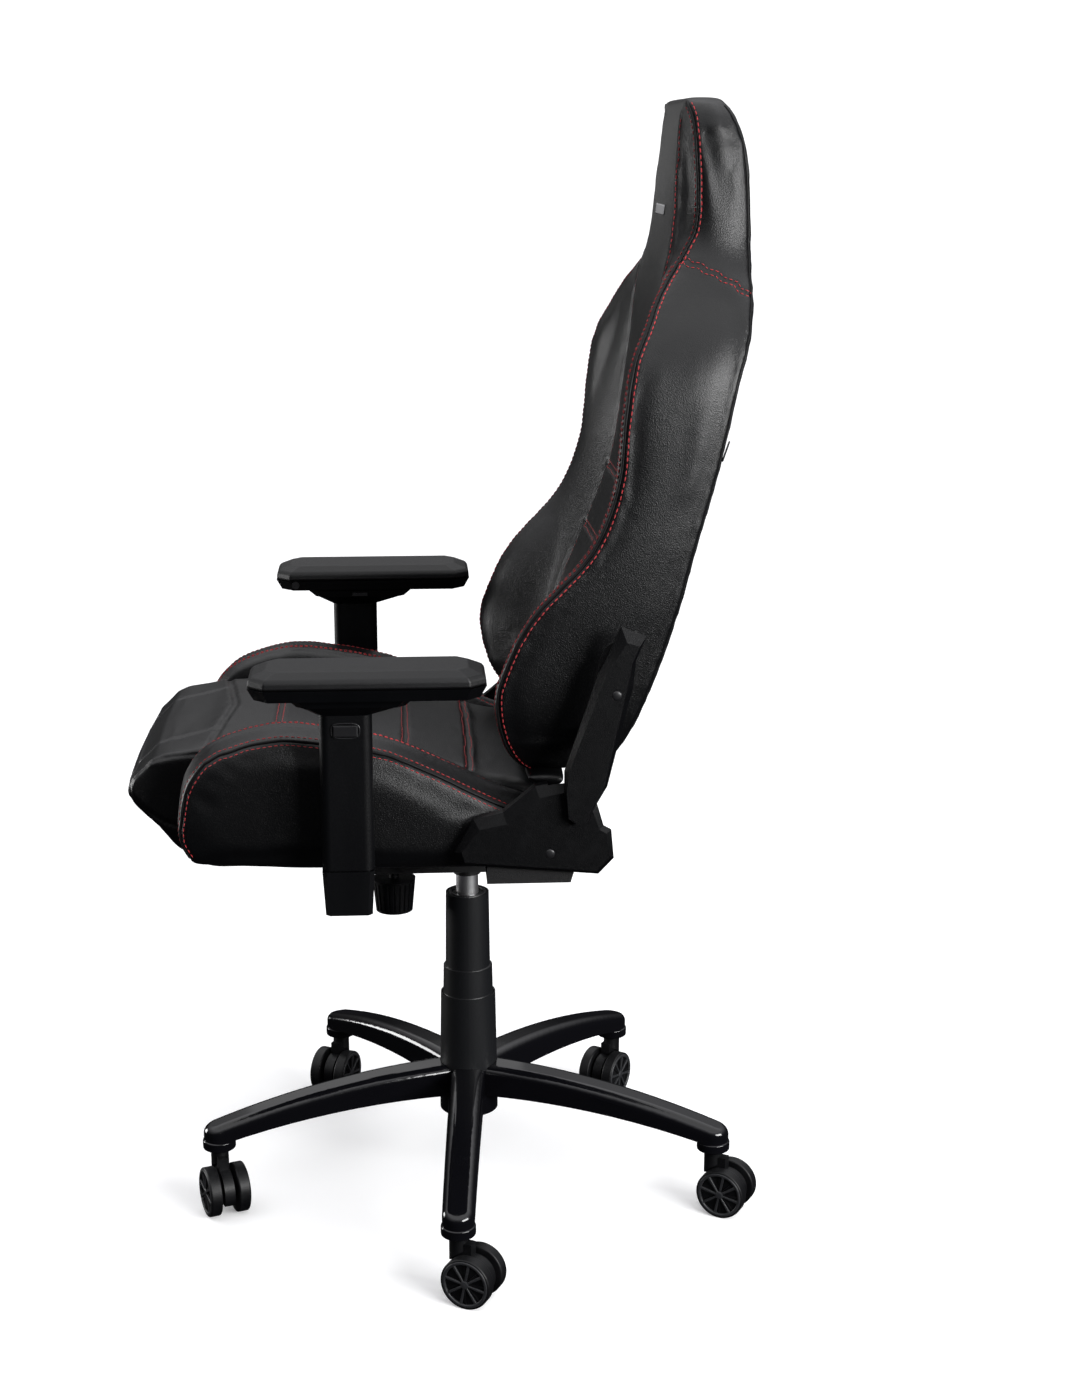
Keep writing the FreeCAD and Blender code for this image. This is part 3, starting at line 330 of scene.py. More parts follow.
black_ring = Finish("black_ring_plastic", (0.008, 0.008, 0.009), 0.35)
ring_grain = black_ring.cloud(600.0, 2.0)
black_ring.paint(roughness=0.3 + ring_grain * 0.15)
black_ring.relief(ring_grain, 0.0002, 0.5)
for node, body, collar in (
    ("column_cover_lower", "base", 0.0315), ("column_cover_middle", "middle_cover", 0.0295),
    ("column_cover_upper", "lift_column", 0.0235),
):
    low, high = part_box(node)
    radius = (high.x - low.x) / 2
    collar = min(collar, radius)
    lip = turned_disc(
        [(collar - 0.0035, -0.0022), (collar - 0.0004, -0.0022), (collar + 0.0004, -0.0014),
         (collar + 0.0004, 0.0003), (collar - 0.0006, 0.0009), (collar - 0.0035, 0.0009),
         (collar - 0.0035, -0.0022)],
        Vector((0, 0, high.z)), Vector((0, 0, 1)), 64,
    )
    new_piece(node + "_lip", lip, black_ring.material, body)

# ---------------------------------------------------------------- tilt mechanism
# The housing and the seat plate are pressed and welded steel with a black powder coat.
# Axle, recliner shaft and lever bush are zinc-plated bar; the knob and the levers are textured plastic.
powder = Finish("black_powder_coat", (0.0070, 0.0070, 0.0075), 0.5, specular=0.42)
powder_grain = powder.cells(1100.0)
powder_rub = powder.cloud(35.0, 5.0).above(0.5, 0.8)
powder.paint(
    colour=powder.mix(powder_rub * 0.5, (0.0065, 0.0065, 0.0070), (0.0200, 0.0200, 0.0200)),
    roughness=0.5 - powder_rub * 0.15,
)
powder.relief(powder_grain, 0.0004, 0.6)
powder.on("mechanism_housing", "seat_plate", "recliner_lower_plates", "recliner_upper_plates", "back_frame")

zinc = Finish("zinc_plate", (0.18, 0.18, 0.19), 0.4, metallic=1.0)
zinc_line = zinc.cloud(140.0, 2.0, 0.5, (20.0, 1.0, 1.0))
zinc.paint(
    colour=zinc.mix(zinc_line, (0.13, 0.13, 0.14), (0.22, 0.22, 0.23)), roughness=0.34 + zinc_line * 0.2
)
zinc.on("tilt_axle", "recliner_shaft", "lift_lever_bush")

plywood = Finish("stained_plywood", (0.03, 0.027, 0.025), 0.6)
plywood_grain = plywood.cloud(60.0, 5.0, 0.6, (1.0, 9.0, 9.0))
plywood.paint(
    colour=plywood.mix(plywood_grain, (0.02, 0.018, 0.017), (0.055, 0.047, 0.04)),
    roughness=0.5 + plywood_grain * 0.2,
)
plywood.relief(plywood_grain, 0.0004, 0.6)
plywood.on("seat_pan")

moulding = Finish("textured_black_moulding", (0.0035, 0.0038, 0.0046), 0.40, specular=0.15)
moulding_pit = moulding.cells(1300.0)
moulding_scuff = moulding.cloud(30.0, 5.0, 0.6).above(0.52, 0.8)
moulding.paint(
    colour=moulding.mix(moulding_scuff * 0.5, (0.0011, 0.0012, 0.0016), (0.0032, 0.0034, 0.0041)),
    roughness=0.34 + moulding_pit * 0.12 + moulding_scuff * 0.1,
)
moulding.relief(moulding_pit, 0.0005, 0.5)
moulding.on("tension_knob", "lift_lever", "recline_lever", "wing_cover_left", "wing_cover_right",
            "bracket_cover_left", "bracket_cover_right")

# ---------------------------------------------------------------- seat centre cushion
# Moulded foam under black imitation leather, sewn in panels: cross seams in doubled red thread over
# the sitting face, a chevron behind the nose, and a nose that rolls over the front edge of the board.
leather = Finish("black_imitation_leather", (0.0038, 0.0038, 0.0046), 0.40, specular=0.42)
pebble = leather.cells(900.0, "SMOOTH_F1")
pore = leather.cells(2100.0)
crease = leather.cloud(45.0, 5.0, 0.62)
handled = leather.cloud(7.0, 4.0, 0.6)
leather.paint(
    colour=leather.mix(handled.above(0.35, 0.75), (0.0014, 0.0015, 0.0018), (0.0027, 0.0028, 0.0033)),
    roughness=0.24 + handled * 0.12 + pebble * 0.12,
)
leather.relief(pebble * 0.75 + pore * 0.25 + crease * 0.9, 0.0007, 0.55)

thread = Finish("red_thread", (0.45, 0.014, 0.020), 0.6, sheen=0.2)
ply = thread.node(
    "ShaderNodeTexWave", {"wave_type": "BANDS", "bands_direction": "DIAGONAL"},
    {"Vector": thread.place, "Scale": 900.0, "Distortion": 1.0},
)
thread.paint(colour=thread.mix(ply, (0.30, 0.008, 0.012), (0.56, 0.020, 0.027)), roughness=0.5 + ply * 0.2)
thread.relief(ply, 0.0003, 0.6)

cord_leather = Finish("piping_leather", (0.003, 0.003, 0.0035), 0.5, specular=0.25)
cord_grain = cord_leather.cloud(700.0, 3.0)
cord_leather.paint(roughness=0.42 + cord_grain * 0.18)
cord_leather.relief(cord_grain, 0.0003, 0.5)


def loft(rings):
    """A closed skin through rings of equal count, with both ends closed."""
    work = bmesh.new()
    ring = bmesh.ops.create_circle(work, segments=len(rings[0]), radius=1.0, cap_ends=False)["verts"]
    first = edges = list(work.edges)
    for vert, point in zip(ring, rings[0]):
        vert.co = point
    for points in rings[1:]:
        made = bmesh.ops.extrude_edge_only(work, edges=edges)["geom"]
        grown = {item for item in made if isinstance(item, bmesh.types.BMVert)}
        ring = [
            next(edge.other_vert(vert) for edge in vert.link_edges if edge.other_vert(vert) in grown)
            for vert in ring
        ]
        edges = [
            item for item in made
            if isinstance(item, bmesh.types.BMEdge) and item.verts[0] in grown and item.verts[1] in grown
        ]
        for vert, point in zip(ring, points):
            vert.co = point
    bmesh.ops.edgeloop_fill(work, edges=first)
    bmesh.ops.edgeloop_fill(work, edges=edges)
    bmesh.ops.recalc_face_normals(work, faces=work.faces)
    return work


def dotted(paths, step=0.0012):
    """A search tree of points close together along paths, to tell how near a seam is."""
    dots = []
    for path in paths:
        for first, second in zip(path, path[1:]):
            pieces = max(1, math.ceil((second - first).length / step))
            dots += [first.lerp(second, index / pieces) for index in range(pieces)]
        dots.append(path[-1])
    tree = KDTree(len(dots))
    for index, dot in enumerate(dots):
        tree.insert(dot, index)
    tree.balance()
    return tree


def puff(name, work, seams, cap, voxel=0.0055, pressure=4.0, pin_width=0.008):
    """Foam under a taut skin: remeshed, blown up by cloth between its held seams, kept within cap."""
    mesh = bpy.data.meshes.new(name)
    work.to_mesh(mesh)
    work.free()
    piece = bpy.data.objects.new(name, mesh)
    bpy.context.scene.collection.objects.link(piece)
    bpy.context.view_layer.objects.active = piece
    remesh = piece.modifiers.new("even", "REMESH")
    remesh.mode = "VOXEL"
    remesh.voxel_size = voxel
    bpy.ops.object.modifier_apply(modifier="even")
    soften = piece.modifiers.new("soften", "SMOOTH")
    soften.factor = 0.5
    soften.iterations = 3
    bpy.ops.object.modifier_apply(modifier="soften")
    held = piece.vertex_groups.new(name="held")
    seam_dots = dotted(seams)
    for vert in piece.data.vertices:
        if seam_dots.find(vert.co)[2] < pin_width:
            held.add([vert.index], 1.0, "REPLACE")
    start = [vert.co.copy() for vert in piece.data.vertices]
    cloth = piece.modifiers.new("cloth", "CLOTH")
    cloth.settings.quality = 5
    cloth.settings.use_pressure = True
    cloth.settings.uniform_pressure_force = pressure
    cloth.settings.effector_weights.gravity = 0.0
    cloth.settings.vertex_group_mass = "held"
    cloth.settings.shrink_min = 0.02
    cloth.collision_settings.use_collision = False
    scene = bpy.context.scene
    for count in range(1, 21):
        scene.frame_set(count)
    settled = piece.evaluated_get(bpy.context.evaluated_depsgraph_get()).data
    moved = [vert.co.copy() for vert in settled.vertices]
    piece.modifiers.remove(cloth)
    scene.frame_set(1)
    for vert, before, after in zip(piece.data.vertices, start, moved):
        shift = after - before
        most = cap(before)
        vert.co = before + (shift if shift.length < most else shift.normalized() * most)
    taut = piece.modifiers.new("taut", "SMOOTH")
    taut.factor = 0.5
    taut.iterations = 4
    taut.vertex_group = "held"
    taut.invert_vertex_group = True
    bpy.ops.object.modifier_apply(modifier="taut")
    piece.vertex_groups.clear()
    return piece


def carve(piece, channels):
    """Presses seams into the skin; a channel is its path, half width, depth and how much it puckers."""
    bpy.context.view_layer.objects.active = piece
    fine = piece.modifiers.new("fine", "SUBSURF")
    fine.levels = 1
    fine.render_levels = 1
    bpy.ops.object.modifier_apply(modifier="fine")
    mesh = piece.data
    normals = [vert.normal.copy() for vert in mesh.vertices]
    for path, width, depth, pucker in channels:
        dots = dotted([path])
        low = Vector([min(p[i] for p in path) - width * 3 for i in range(3)])
        high = Vector([max(p[i] for p in path) + width * 3 for i in range(3)])
        for vert, normal in zip(mesh.vertices, normals):
            point = vert.co
            if not all(low[i] <= point[i] <= high[i] for i in range(3)):
                continue
            away = dots.find(point)[2]
            if away < width * 3:
                fold = noise.noise(point * 60.0) * pucker * max(0.0, 1 - away / (width * 3))
                dip = depth * max(0.0, 1 - (away / width) ** 2) ** 2 if away < width else 0.0
                vert.co = point - normal * (dip - fold)
    for polygon in mesh.polygons:
        polygon.use_smooth = True
    mesh.update()


def skin(piece):
    """The surface of a piece, to lay threads and piping on."""
    work = bmesh.new()
    work.from_mesh(piece.data)
    tree = BVHTree.FromBMesh(work)
    work.free()
    return tree


def lay(tree, path, sideways=0.0, step=0.004):
    """Points at even steps along a path, snapped to a surface and moved sideways on it."""
    laid = []
    for first, second in zip(path, path[1:]):
        pieces = max(1, round((second - first).length / step))
        laid += [first.lerp(second, index / pieces) for index in range(pieces)]
    laid.append(path[-1])
    out = []
    for index, point in enumerate(laid):
        place, normal, _, _ = tree.find_nearest(point)
        ahead = laid[min(index + 1, len(laid) - 1)] - laid[max(index - 1, 0)]
        if ahead.length < 1e-7:
            continue
        across = normal.cross(ahead).normalized()
        if sideways:
            place, normal, _, _ = tree.find_nearest(place + across * sideways)
        out.append((place, normal))
    return out


def paces(line, lengths):
    """Places along a line, as far apart as lengths says over and over; the line is (place, normal)."""
    here = line[0][0]
    out = [line[0]]
    turn = 0
    left = lengths[0]
    for place, normal in line[1:]:
        span = (place - here).length
        while span >= left:
            here = here.lerp(place, left / span)
            out.append((here, normal))
            span -= left
            turn += 1
            left = lengths[turn % len(lengths)]
        left -= span
        here = place
    return out


def sew(name, tree, rows, body, stitch=0.0042, gap=0.0023, thick=0.00055):
    """Rows of thread: each row is a path and how far beside it the thread runs."""
    work = bmesh.new()
    for path, sideways in rows:
        spots = paces(lay(tree, path, sideways, 0.002), [stitch, gap])
        for (start, normal), (end, _) in zip(spots[::2], spots[1::2]):
            along = end - start
            if along.length < stitch * 0.4:
                continue
            turn = along.to_track_quat("Z", "X").to_matrix().to_4x4()
            bmesh.ops.create_uvsphere(
                work, u_segments=6, v_segments=4, radius=1.0,
                matrix=Matrix.Translation((start + end) / 2 + normal * thick * 0.5) @ turn
                @ Matrix.Diagonal((thick, thick, along.length * 0.56, 1.0)),
            )
    return new_piece(name, work, thread.material, body)


def pipe(name, tree, path, body, radius=0.0018, sink=0.0004):
    """A cord of leather along a seam, sunk a little into it."""
    line = lay(tree, path, step=0.006)
    curve = bpy.data.curves.new(name, "CURVE")
    curve.dimensions = "3D"
    curve.bevel_depth = radius
    curve.bevel_resolution = 3
    curve.use_fill_caps = True
    spline = curve.splines.new("POLY")
    spline.points.add(len(line) - 1)
    for point, (place, normal) in zip(spline.points, line):
        point.co = (*(place + normal * (radius * 0.5 - sink)), 1.0)
    curve.materials.append(cord_leather.material)
    piece = bpy.data.objects.new(name, curve)
    bpy.context.scene.collection.objects.link(piece)
    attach(piece, body)
    return piece


def smooth_line(points, steps):
    """A smooth run through points, steps pieces to each."""
    out = []
    for index in range(len(points) - 1):
        before = points[max(index - 1, 0)]
        start, end = points[index], points[index + 1]
        after = points[min(index + 2, len(points) - 1)]
        for step in range(steps):
            t = step / steps
            out.append(tuple(
                0.5 * (2 * b + (c - a) * t + (2 * a - 5 * b + 4 * c - d) * t * t
                       + (3 * b - a - 3 * c + d) * t ** 3)
                for a, b, c, d in zip(before, start, end, after)
            ))
    out.append(tuple(points[-1]))
    return out


def drawn_in(outline, amount):
    """A closed side outline moved inwards all round; its points are (y, z)."""
    count = len(outline)
    area = sum(
        outline[i][0] * outline[(i + 1) % count][1] - outline[(i + 1) % count][0] * outline[i][1]
        for i in range(count)
    )
    turn = 1.0 if area > 0 else -1.0
    out = []
    for i, (y, z) in enumerate(outline):
        back = outline[i - 1]
        ahead = outline[(i + 1) % count]
        along = Vector((ahead[0] - back[0], ahead[1] - back[1])).normalized()
        out.append((y - along.y * turn * amount, z + along.x * turn * amount))
    return out


def on_skin(tree, points):
    return [tree.find_nearest(Vector(point))[0] for point in points]


seat_top = smooth_line([
    (0.095, 0.577), (0.060, 0.585), (0.000, 0.597), (-0.075, 0.616), (-0.150, 0.629), (-0.225, 0.635),
    (-0.290, 0.631), (-0.335, 0.626), (-0.366, 0.618), (-0.387, 0.602), (-0.399, 0.586), (-0.404, 0.571),
    (-0.397, 0.555), (-0.385, 0.540), (-0.366, 0.517), (-0.351, 0.500), (-0.342, 0.491),
], 4)
seat_outline = seat_top + [(-0.332, 0.488), (-0.321, 0.492), (-0.3175, 0.503), (-0.2, 0.5035), (-0.1, 0.5035),
                           (0.0, 0.5035), (0.094, 0.5035)]
seat_rings = []
for x, amount in ((0.1715, 0.014), (0.1700, 0.009), (0.1655, 0.0055), (0.150, 0.0035), (0.110, 0.0015),
                  (0.06, -0.001), (0.0, -0.002)):
    seat_rings.append([(x, y, z) for y, z in drawn_in(seat_outline, amount)])
seat_rings += [[(-x, y, z) for x, y, z in ring] for ring in reversed(seat_rings[:-1])]


def height_of(profile, y):
    """Height of a side profile's upper face at y."""
    for (y0, z0), (y1, z1) in zip(profile, profile[1:]):
        if (y0 - y) * (y1 - y) <= 0 and y0 != y1:
            return z0 + (z1 - z0) * (y - y0) / (y1 - y0)
    return profile[-1][1]


seat_steps = [-0.172 + 0.344 * step / 28 for step in range(29)]
cross_seams = [[Vector((x, y, height_of(seat_top, y))) for x in seat_steps] for y in (-0.225, -0.075, 0.0)]
chevron = [Vector((x, -0.303 + 0.022 * (1 - abs(x) / 0.172), 0.0)) for x in seat_steps]
for point in chevron:
    point.z = height_of(seat_top, point.y)
nose_chain = [(y, z) for y, z in seat_top if y < -0.3]
nose_folds = [[Vector((side * (0.100 + 0.012 * index / len(nose_chain)), y, z))
               for index, (y, z) in enumerate(nose_chain)] for side in (-1, 1)]
gussets = [[Vector((side * 0.1715, y, z)) for y, z in (
    (-0.315, 0.6165), (-0.345, 0.6150), (-0.381, 0.6110), (-0.391, 0.5960), (-0.3985, 0.5800),
    (-0.3960, 0.5680), (-0.380, 0.5520), (-0.357, 0.5360), (-0.337, 0.5290),
)] for side in (-1, 1)]

seat_cushion = puff(
    "seat_cushion_cover", loft(seat_rings), cross_seams + [chevron] + gussets,
    cap=lambda point: 0.0025 if point.z < 0.51 or abs(point.x) > 0.168 or point.y > -0.01 else 0.007,
)
seat_tree = skin(seat_cushion)
cross_seams = [on_skin(seat_tree, path) for path in cross_seams]
chevron = on_skin(seat_tree, chevron)
nose_folds = [on_skin(seat_tree, path) for path in nose_folds]
gussets = [on_skin(seat_tree, path) for path in gussets]
wrinkles = [
    on_skin(seat_tree, [Vector((side * 0.172, y + lean * share, 0.536 - shift - 0.026 * share))
                        for share in (0.0, 0.25, 0.5, 0.75, 1.0)])
    for side in (-1, 1) for y, lean, shift in ((-0.352, 0.010, 0.0), (-0.343, 0.007, 0.004), (-0.335, 0.004, 0.002))
]
carve(
    seat_cushion,
    [(path, 0.006, 0.0024, 0.0006) for path in cross_seams] + [(chevron, 0.007, 0.0028, 0.0008)]
    + [(path, 0.009, 0.0022, 0.0008) for path in nose_folds]
    + [(path, 0.004, 0.0016, 0.0004) for path in gussets]
    + [(path, 0.003, 0.0014, 0.0004) for path in wrinkles],
)
seat_cushion.data.materials.append(leather.material)
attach(seat_cushion, "seat_unit")
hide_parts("seat_cushion")
seat_tree = skin(seat_cushion)
sew("seat_cross_stitching", seat_tree,
    [(path, aside) for path in cross_seams for aside in (-0.0045, 0.0045)], "seat_unit")

# ---------------------------------------------------------------- seat side bolsters
# Firmer foam blocks along both sides of the seat, with a flat band on top and plain leather sides.
# The band's inner edge is closed by two rows of red thread; its outer edge has black piping between rows.
bolster_chain = smooth_line([
    (-0.340, 0.544), (-0.332, 0.594), (-0.315, 0.625), (-0.286, 0.646), (-0.225, 0.662), (-0.170, 0.658),
    (-0.103, 0.645), (-0.059, 0.628), (0.042, 0.578), (0.094, 0.566),
], 5)
bolster_floor = [(0.094, 0.5015), (0.0, 0.5010), (-0.1, 0.5015), (-0.196, 0.5035), (-0.26, 0.5070)]
for hand, side in ((1.0, "left"), (-1.0, "right")):
    rings = []
    for x, amount, skirt in (
        (0.1755, 0.012, 0.0), (0.1775, 0.006, 0.0), (0.182, 0.0025, 0.0), (0.196, 0.0015, 0.0),
        (0.2045, 0.0015, 0.0), (0.2065, 0.0015, 0.0105), (0.230, 0.0020, 0.0105), (0.246, 0.003, 0.0105),
        (0.2540, 0.0055, 0.0095), (0.2580, 0.011, 0.007),
    ):
        outline = bolster_chain + [(0.094, 0.535)] + [(y, z + 0.003 - skirt) for y, z in bolster_floor]
        outline += [(-0.322, 0.5145 - skirt), (-0.336, 0.5265)]
        rings.append([(hand * x, y, z) for y, z in drawn_in(outline, amount)])
    front_chain = [(-0.333, 0.507), (-0.337, 0.520), (-0.3395, 0.532)] + bolster_chain
    outer_edge = [Vector((hand * 0.2555, y, z)) for y, z in front_chain]
    inner_edge = [Vector((hand * 0.1965, y, z)) for y, z in front_chain]
    bolster = puff(
        "seat_bolster_" + side, loft(rings), [outer_edge, inner_edge],
        cap=lambda point: 0.0015 if point.z < 0.51 or abs(point.x) < 0.18 else 0.004, pin_width=0.006,
    )
    tree = skin(bolster)
    outer_edge = on_skin(tree, outer_edge)
    inner_edge = on_skin(tree, inner_edge)
    carve(bolster, [(outer_edge, 0.006, 0.0012, 0.0006), (inner_edge, 0.006, 0.0018, 0.0008)])
    bolster.data.materials.append(leather.material)
    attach(bolster, "seat_unit")
    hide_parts("seat_bolsters")
    tree = skin(bolster)
    sew("bolster_stitching_" + side, tree,
        [(outer_edge, 0.0065), (outer_edge, -0.0065), (inner_edge, 0.0022), (inner_edge, -0.0022)],
        "seat_unit")
    pipe("bolster_piping_" + side, tree, outer_edge, "seat_unit")

# ---------------------------------------------------------------- recliner
# Steel plates and a shaft carry the back; black textured covers hide them, each held by two screws.
# The screws sit under small round caps, and the release lever comes out in front of the right cover.
for hand, side in ((1.0, "left"), (-1.0, "right")):
    for name, body, node, y, z in (
        ("wing_cap_" + side, "seat_unit", "wing_cover_" + side, 0.0855, 0.5246),
        ("bracket_cap_" + side, "back", "bracket_cover_" + side, 0.1582, 0.7100),
    ):
        cad = bmesh.new()
        cad.from_mesh(frame["nodes"][node].data)
        cover = BVHTree.FromBMesh(cad)
        place, normal, _, _ = cover.ray_cast(Vector((hand * 0.35, y, z)), Vector((-hand, 0, 0)))
        cad.free()
        if normal.x * hand < 0:
            normal = -normal
        cap = turned_disc(
            [(0.0, 0.0011), (0.0035, 0.0010), (0.0050, 0.0004), (0.0058, -0.0006), (0.0, -0.0006)],
            place, normal, 32,
        )
        new_piece(name, cap, black_ring.material, body)

# ---------------------------------------------------------------- back
# A bent tube hoop carries one tall moulded foam with wings and a built-in head section, under
# imitation leather cut in panels: a long centre panel, two wings, two plain side panels and the rear.
# The wings' front edges are piped, with doubled red thread inside the piping and one row outside it.
back_table = [
    (0.600, 0.214, 0.064, 0.108, 0.150, 0.160), (0.620, 0.232, 0.044, 0.104, 0.167, 0.178),
    (0.655, 0.244, 0.030, 0.103, 0.187, 0.201), (0.700, 0.250, 0.027, 0.108, 0.206, 0.223),
    (0.760, 0.253, 0.050, 0.126, 0.227, 0.244), (0.800, 0.255, 0.078, 0.142, 0.239, 0.257),
    (0.860, 0.256, 0.133, 0.168, 0.253, 0.274), (0.930, 0.256, 0.161, 0.192, 0.273, 0.296),
    (1.000, 0.256, 0.168, 0.203, 0.289, 0.317), (1.040, 0.252, 0.173, 0.209, 0.298, 0.327),
    (1.070, 0.243, 0.180, 0.213, 0.307, 0.330), (1.100, 0.226, 0.194, 0.216, 0.315, 0.332),
    (1.130, 0.200, 0.208, 0.219, 0.319, 0.333), (1.155, 0.172, 0.224, 0.224, 0.321, 0.334),
    (1.180, 0.153, 0.242, 0.231, 0.322, 0.334), (1.210, 0.146, 0.257, 0.236, 0.322, 0.334),
    (1.260, 0.142, 0.258, 0.240, 0.320, 0.332), (1.300, 0.139, 0.256, 0.243, 0.314, 0.327),
    (1.330, 0.129, 0.252, 0.246, 0.303, 0.317), (1.346, 0.114, 0.246, 0.249, 0.291, 0.305),
]
back_rows = smooth_line(back_table, 3)


def panel_edge(z, half):
    """Half width of the centre panel: even up to the shoulders, then narrower in the head section."""
    return min(0.125, half - 0.030, 0.125 - 0.25 * max(0.0, z - 1.16) if z > 1.16 else 0.125)


def back_section(row):
    """Half of a level section, from the middle of the front round to the middle of the rear."""
    z, half, edge, middle, rear_seam, rear = row
    panel = panel_edge(z, half)
    lead = 0.005 * max(0.0, min(1.0, (middle - edge) / 0.03))
    crest_x, crest_y = half - 0.030, edge - lead
    points = [(0.0, middle), (panel * 0.35, middle), (panel * 0.7, middle - 0.0005), (panel, middle - 0.001)]
    for share in (0.2, 0.4, 0.6, 0.8):
        bend = share * share * (3 - 2 * share)
        points.append((panel + (crest_x - panel) * share, middle + (crest_y - middle) * bend))
    points += [(crest_x, crest_y), (half - 0.020, edge - lead * 0.8), (half - 0.012, edge)]
    points += [(half - 0.004, edge + 0.010), (half - 0.0005, edge + 0.028)]
    for share in (0.25, 0.5, 0.75):
        points.append((half - 0.006 * share * share, edge + 0.028 + (rear_seam - edge - 0.04) * share))
    points += [
        (half - 0.012, rear_seam - 0.010), (half * 0.92, rear_seam - 0.001), (half * 0.80, rear_seam + 0.004),
    ]
    for share in (0.25, 0.5, 0.75):
        bulge = (rear - rear_seam - 0.004) * (1 - (1 - share) ** 2)
        points.append((half * 0.80 * (1 - share), rear_seam + 0.004 + bulge))
    points.append((0.0, rear))
    return [(x, y, z) for x, y in points]


panel_index, pipe_index, rear_index = 3, 10, 17
back_rings = []
for row in back_rows:
    half_ring = back_section(row)
    back_rings.append([Vector(point) for point in half_ring]
                      + [Vector((-x, y, z)) for x, y, z in reversed(half_ring[1:-1])])
head_middle_y = 0.273
top_ring = back_rings[-1]
for lift, share in ((0.004, 0.93), (0.0060, 0.80), (0.0068, 0.5)):
    back_rings.append([
        Vector((p.x * share, head_middle_y + (p.y - head_middle_y) * share, p.z + lift)) for p in top_ring
    ])


def back_line(index, hand, low=0.0, high=9.0):
    """A seam up the back at one place of every section, on one side."""
    return [Vector((hand * section[index][0], section[index][1], section[index][2]))
            for section in map(back_section, back_rows) if low <= section[index][2] <= high]


def over_centre(z):
    """A seam across the centre panel at one height."""
    row = min(back_rows, key=lambda entry: abs(entry[0] - z))
    reach = panel_edge(row[0], row[1])
    return [Vector((reach * step / 10, row[3], z)) for step in range(-10, 11)]


def head_corner(hand):
    """The seam that parts the head section's side from the shoulder's, a little lower at the rear."""
    seam = []
    for step in range(15):
        z = 1.174 - 0.037 * step / 14
        section = back_section(min(back_rows, key=lambda entry: abs(entry[0] - z)))
        front, rear = section[pipe_index], section[rear_index]
        seam.append(Vector((hand * front[0], front[1] + (rear[1] - front[1]) * step / 14, z)))
    return seam


pipe_paths = {hand: back_line(pipe_index, hand) for hand in (1, -1)}
panel_paths = {hand: back_line(panel_index, hand, 0.60, 1.335) for hand in (1, -1)}
rear_paths = {hand: back_line(rear_index, hand, 0.62, 1.345) for hand in (1, -1)}
cross_paths = [over_centre(z) for z in (0.832, 0.908)]
held_seams = [path for paths in (pipe_paths, panel_paths, rear_paths) for path in paths.values()]
held_seams += cross_paths + [head_corner(hand) for hand in (1, -1)]
for section_ring in back_rings:
    for point in section_ring:
        inward = Vector((point.x, point.y - 0.20, 0.0))
        point -= inward.normalized() * (0.0025 if point.y < 0.24 else 0.0005)


def back_cap(point):
    """How far the foam may swell: the front fills out, the sides and the rear stay nearly flat."""
    if point.y > 0.30 or point.z < 0.64 or point.z > 1.315:
        return 0.0025
    if abs(point.x) < 0.12 and point.y < 0.25:
        return 0.009
    return 0.005


back_cushion = puff("back_cover", loft(back_rings), held_seams, cap=back_cap, voxel=0.006)
back_tree = skin(back_cushion)
channels = []
for hand in (1, -1):
    pipe_paths[hand] = on_skin(back_tree, pipe_paths[hand])
    panel_paths[hand] = on_skin(back_tree, panel_paths[hand])
    rear_paths[hand] = on_skin(back_tree, rear_paths[hand])
    channels += [(pipe_paths[hand], 0.007, 0.0012, 0.0008), (panel_paths[hand], 0.007, 0.0022, 0.0010),
                 (rear_paths[hand], 0.005, 0.0016, 0.0008)]
    channels.append((on_skin(back_tree, head_corner(hand)), 0.006, 0.0014, 0.0006))
cross_paths = [on_skin(back_tree, path) for path in cross_paths]
channels += [(path, 0.007, 0.0022, 0.0012) for path in cross_paths]
carve(back_cushion, channels)
back_cushion.data.materials.append(leather.material)
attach(back_cushion, "back")
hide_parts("back_cushion")
tail_outline = [
    (0.058, 0.606), (0.064, 0.594), (0.074, 0.5865), (0.092, 0.5850), (0.1055, 0.5890), (0.1085, 0.606),
]
tail_rings = []
for x, amount in ((0.236, 0.006), (0.232, 0.002), (0.205, 0.0), (0.10, 0.0)):
    tail_rings.append([(x, y, z) for y, z in drawn_in(tail_outline, amount)])
tail_rings += [[(-x, y, z) for x, y, z in ring] for ring in reversed(tail_rings)]
tail = new_piece("back_tail_roll", loft(tail_rings), leather.material, "back")
tail_soft = tail.modifiers.new("round", "SUBSURF")
tail_soft.levels = 2
tail_soft.render_levels = 2
back_tree = skin(back_cushion)
for hand, side in ((1, "left"), (-1, "right")):
    rows = [([p for p in pipe_paths[hand] if p.z < 1.175], hand * 0.0095),
            (pipe_paths[hand], hand * 0.0050),
            (panel_paths[hand], hand * 0.0030)]
    corner = on_skin(back_tree, head_corner(hand))
    rows += [(corner, 0.0040), (corner, -0.0040)]
    sew("back_stitching_" + side, back_tree, rows, "back")
    sew("back_outer_stitching_" + side, back_tree, [(pipe_paths[hand], hand * -0.0062)], "back",
        stitch=0.0050, gap=0.0022, thick=0.00075)
    pipe("back_piping_" + side, back_tree, pipe_paths[hand], "back")
    pipe("back_zip_" + side, back_tree, rear_paths[hand], "back", radius=0.0012)
sew("back_cross_stitching", back_tree,
    [(path, aside) for path in cross_paths for aside in (-0.0045, 0.0045)], "back")

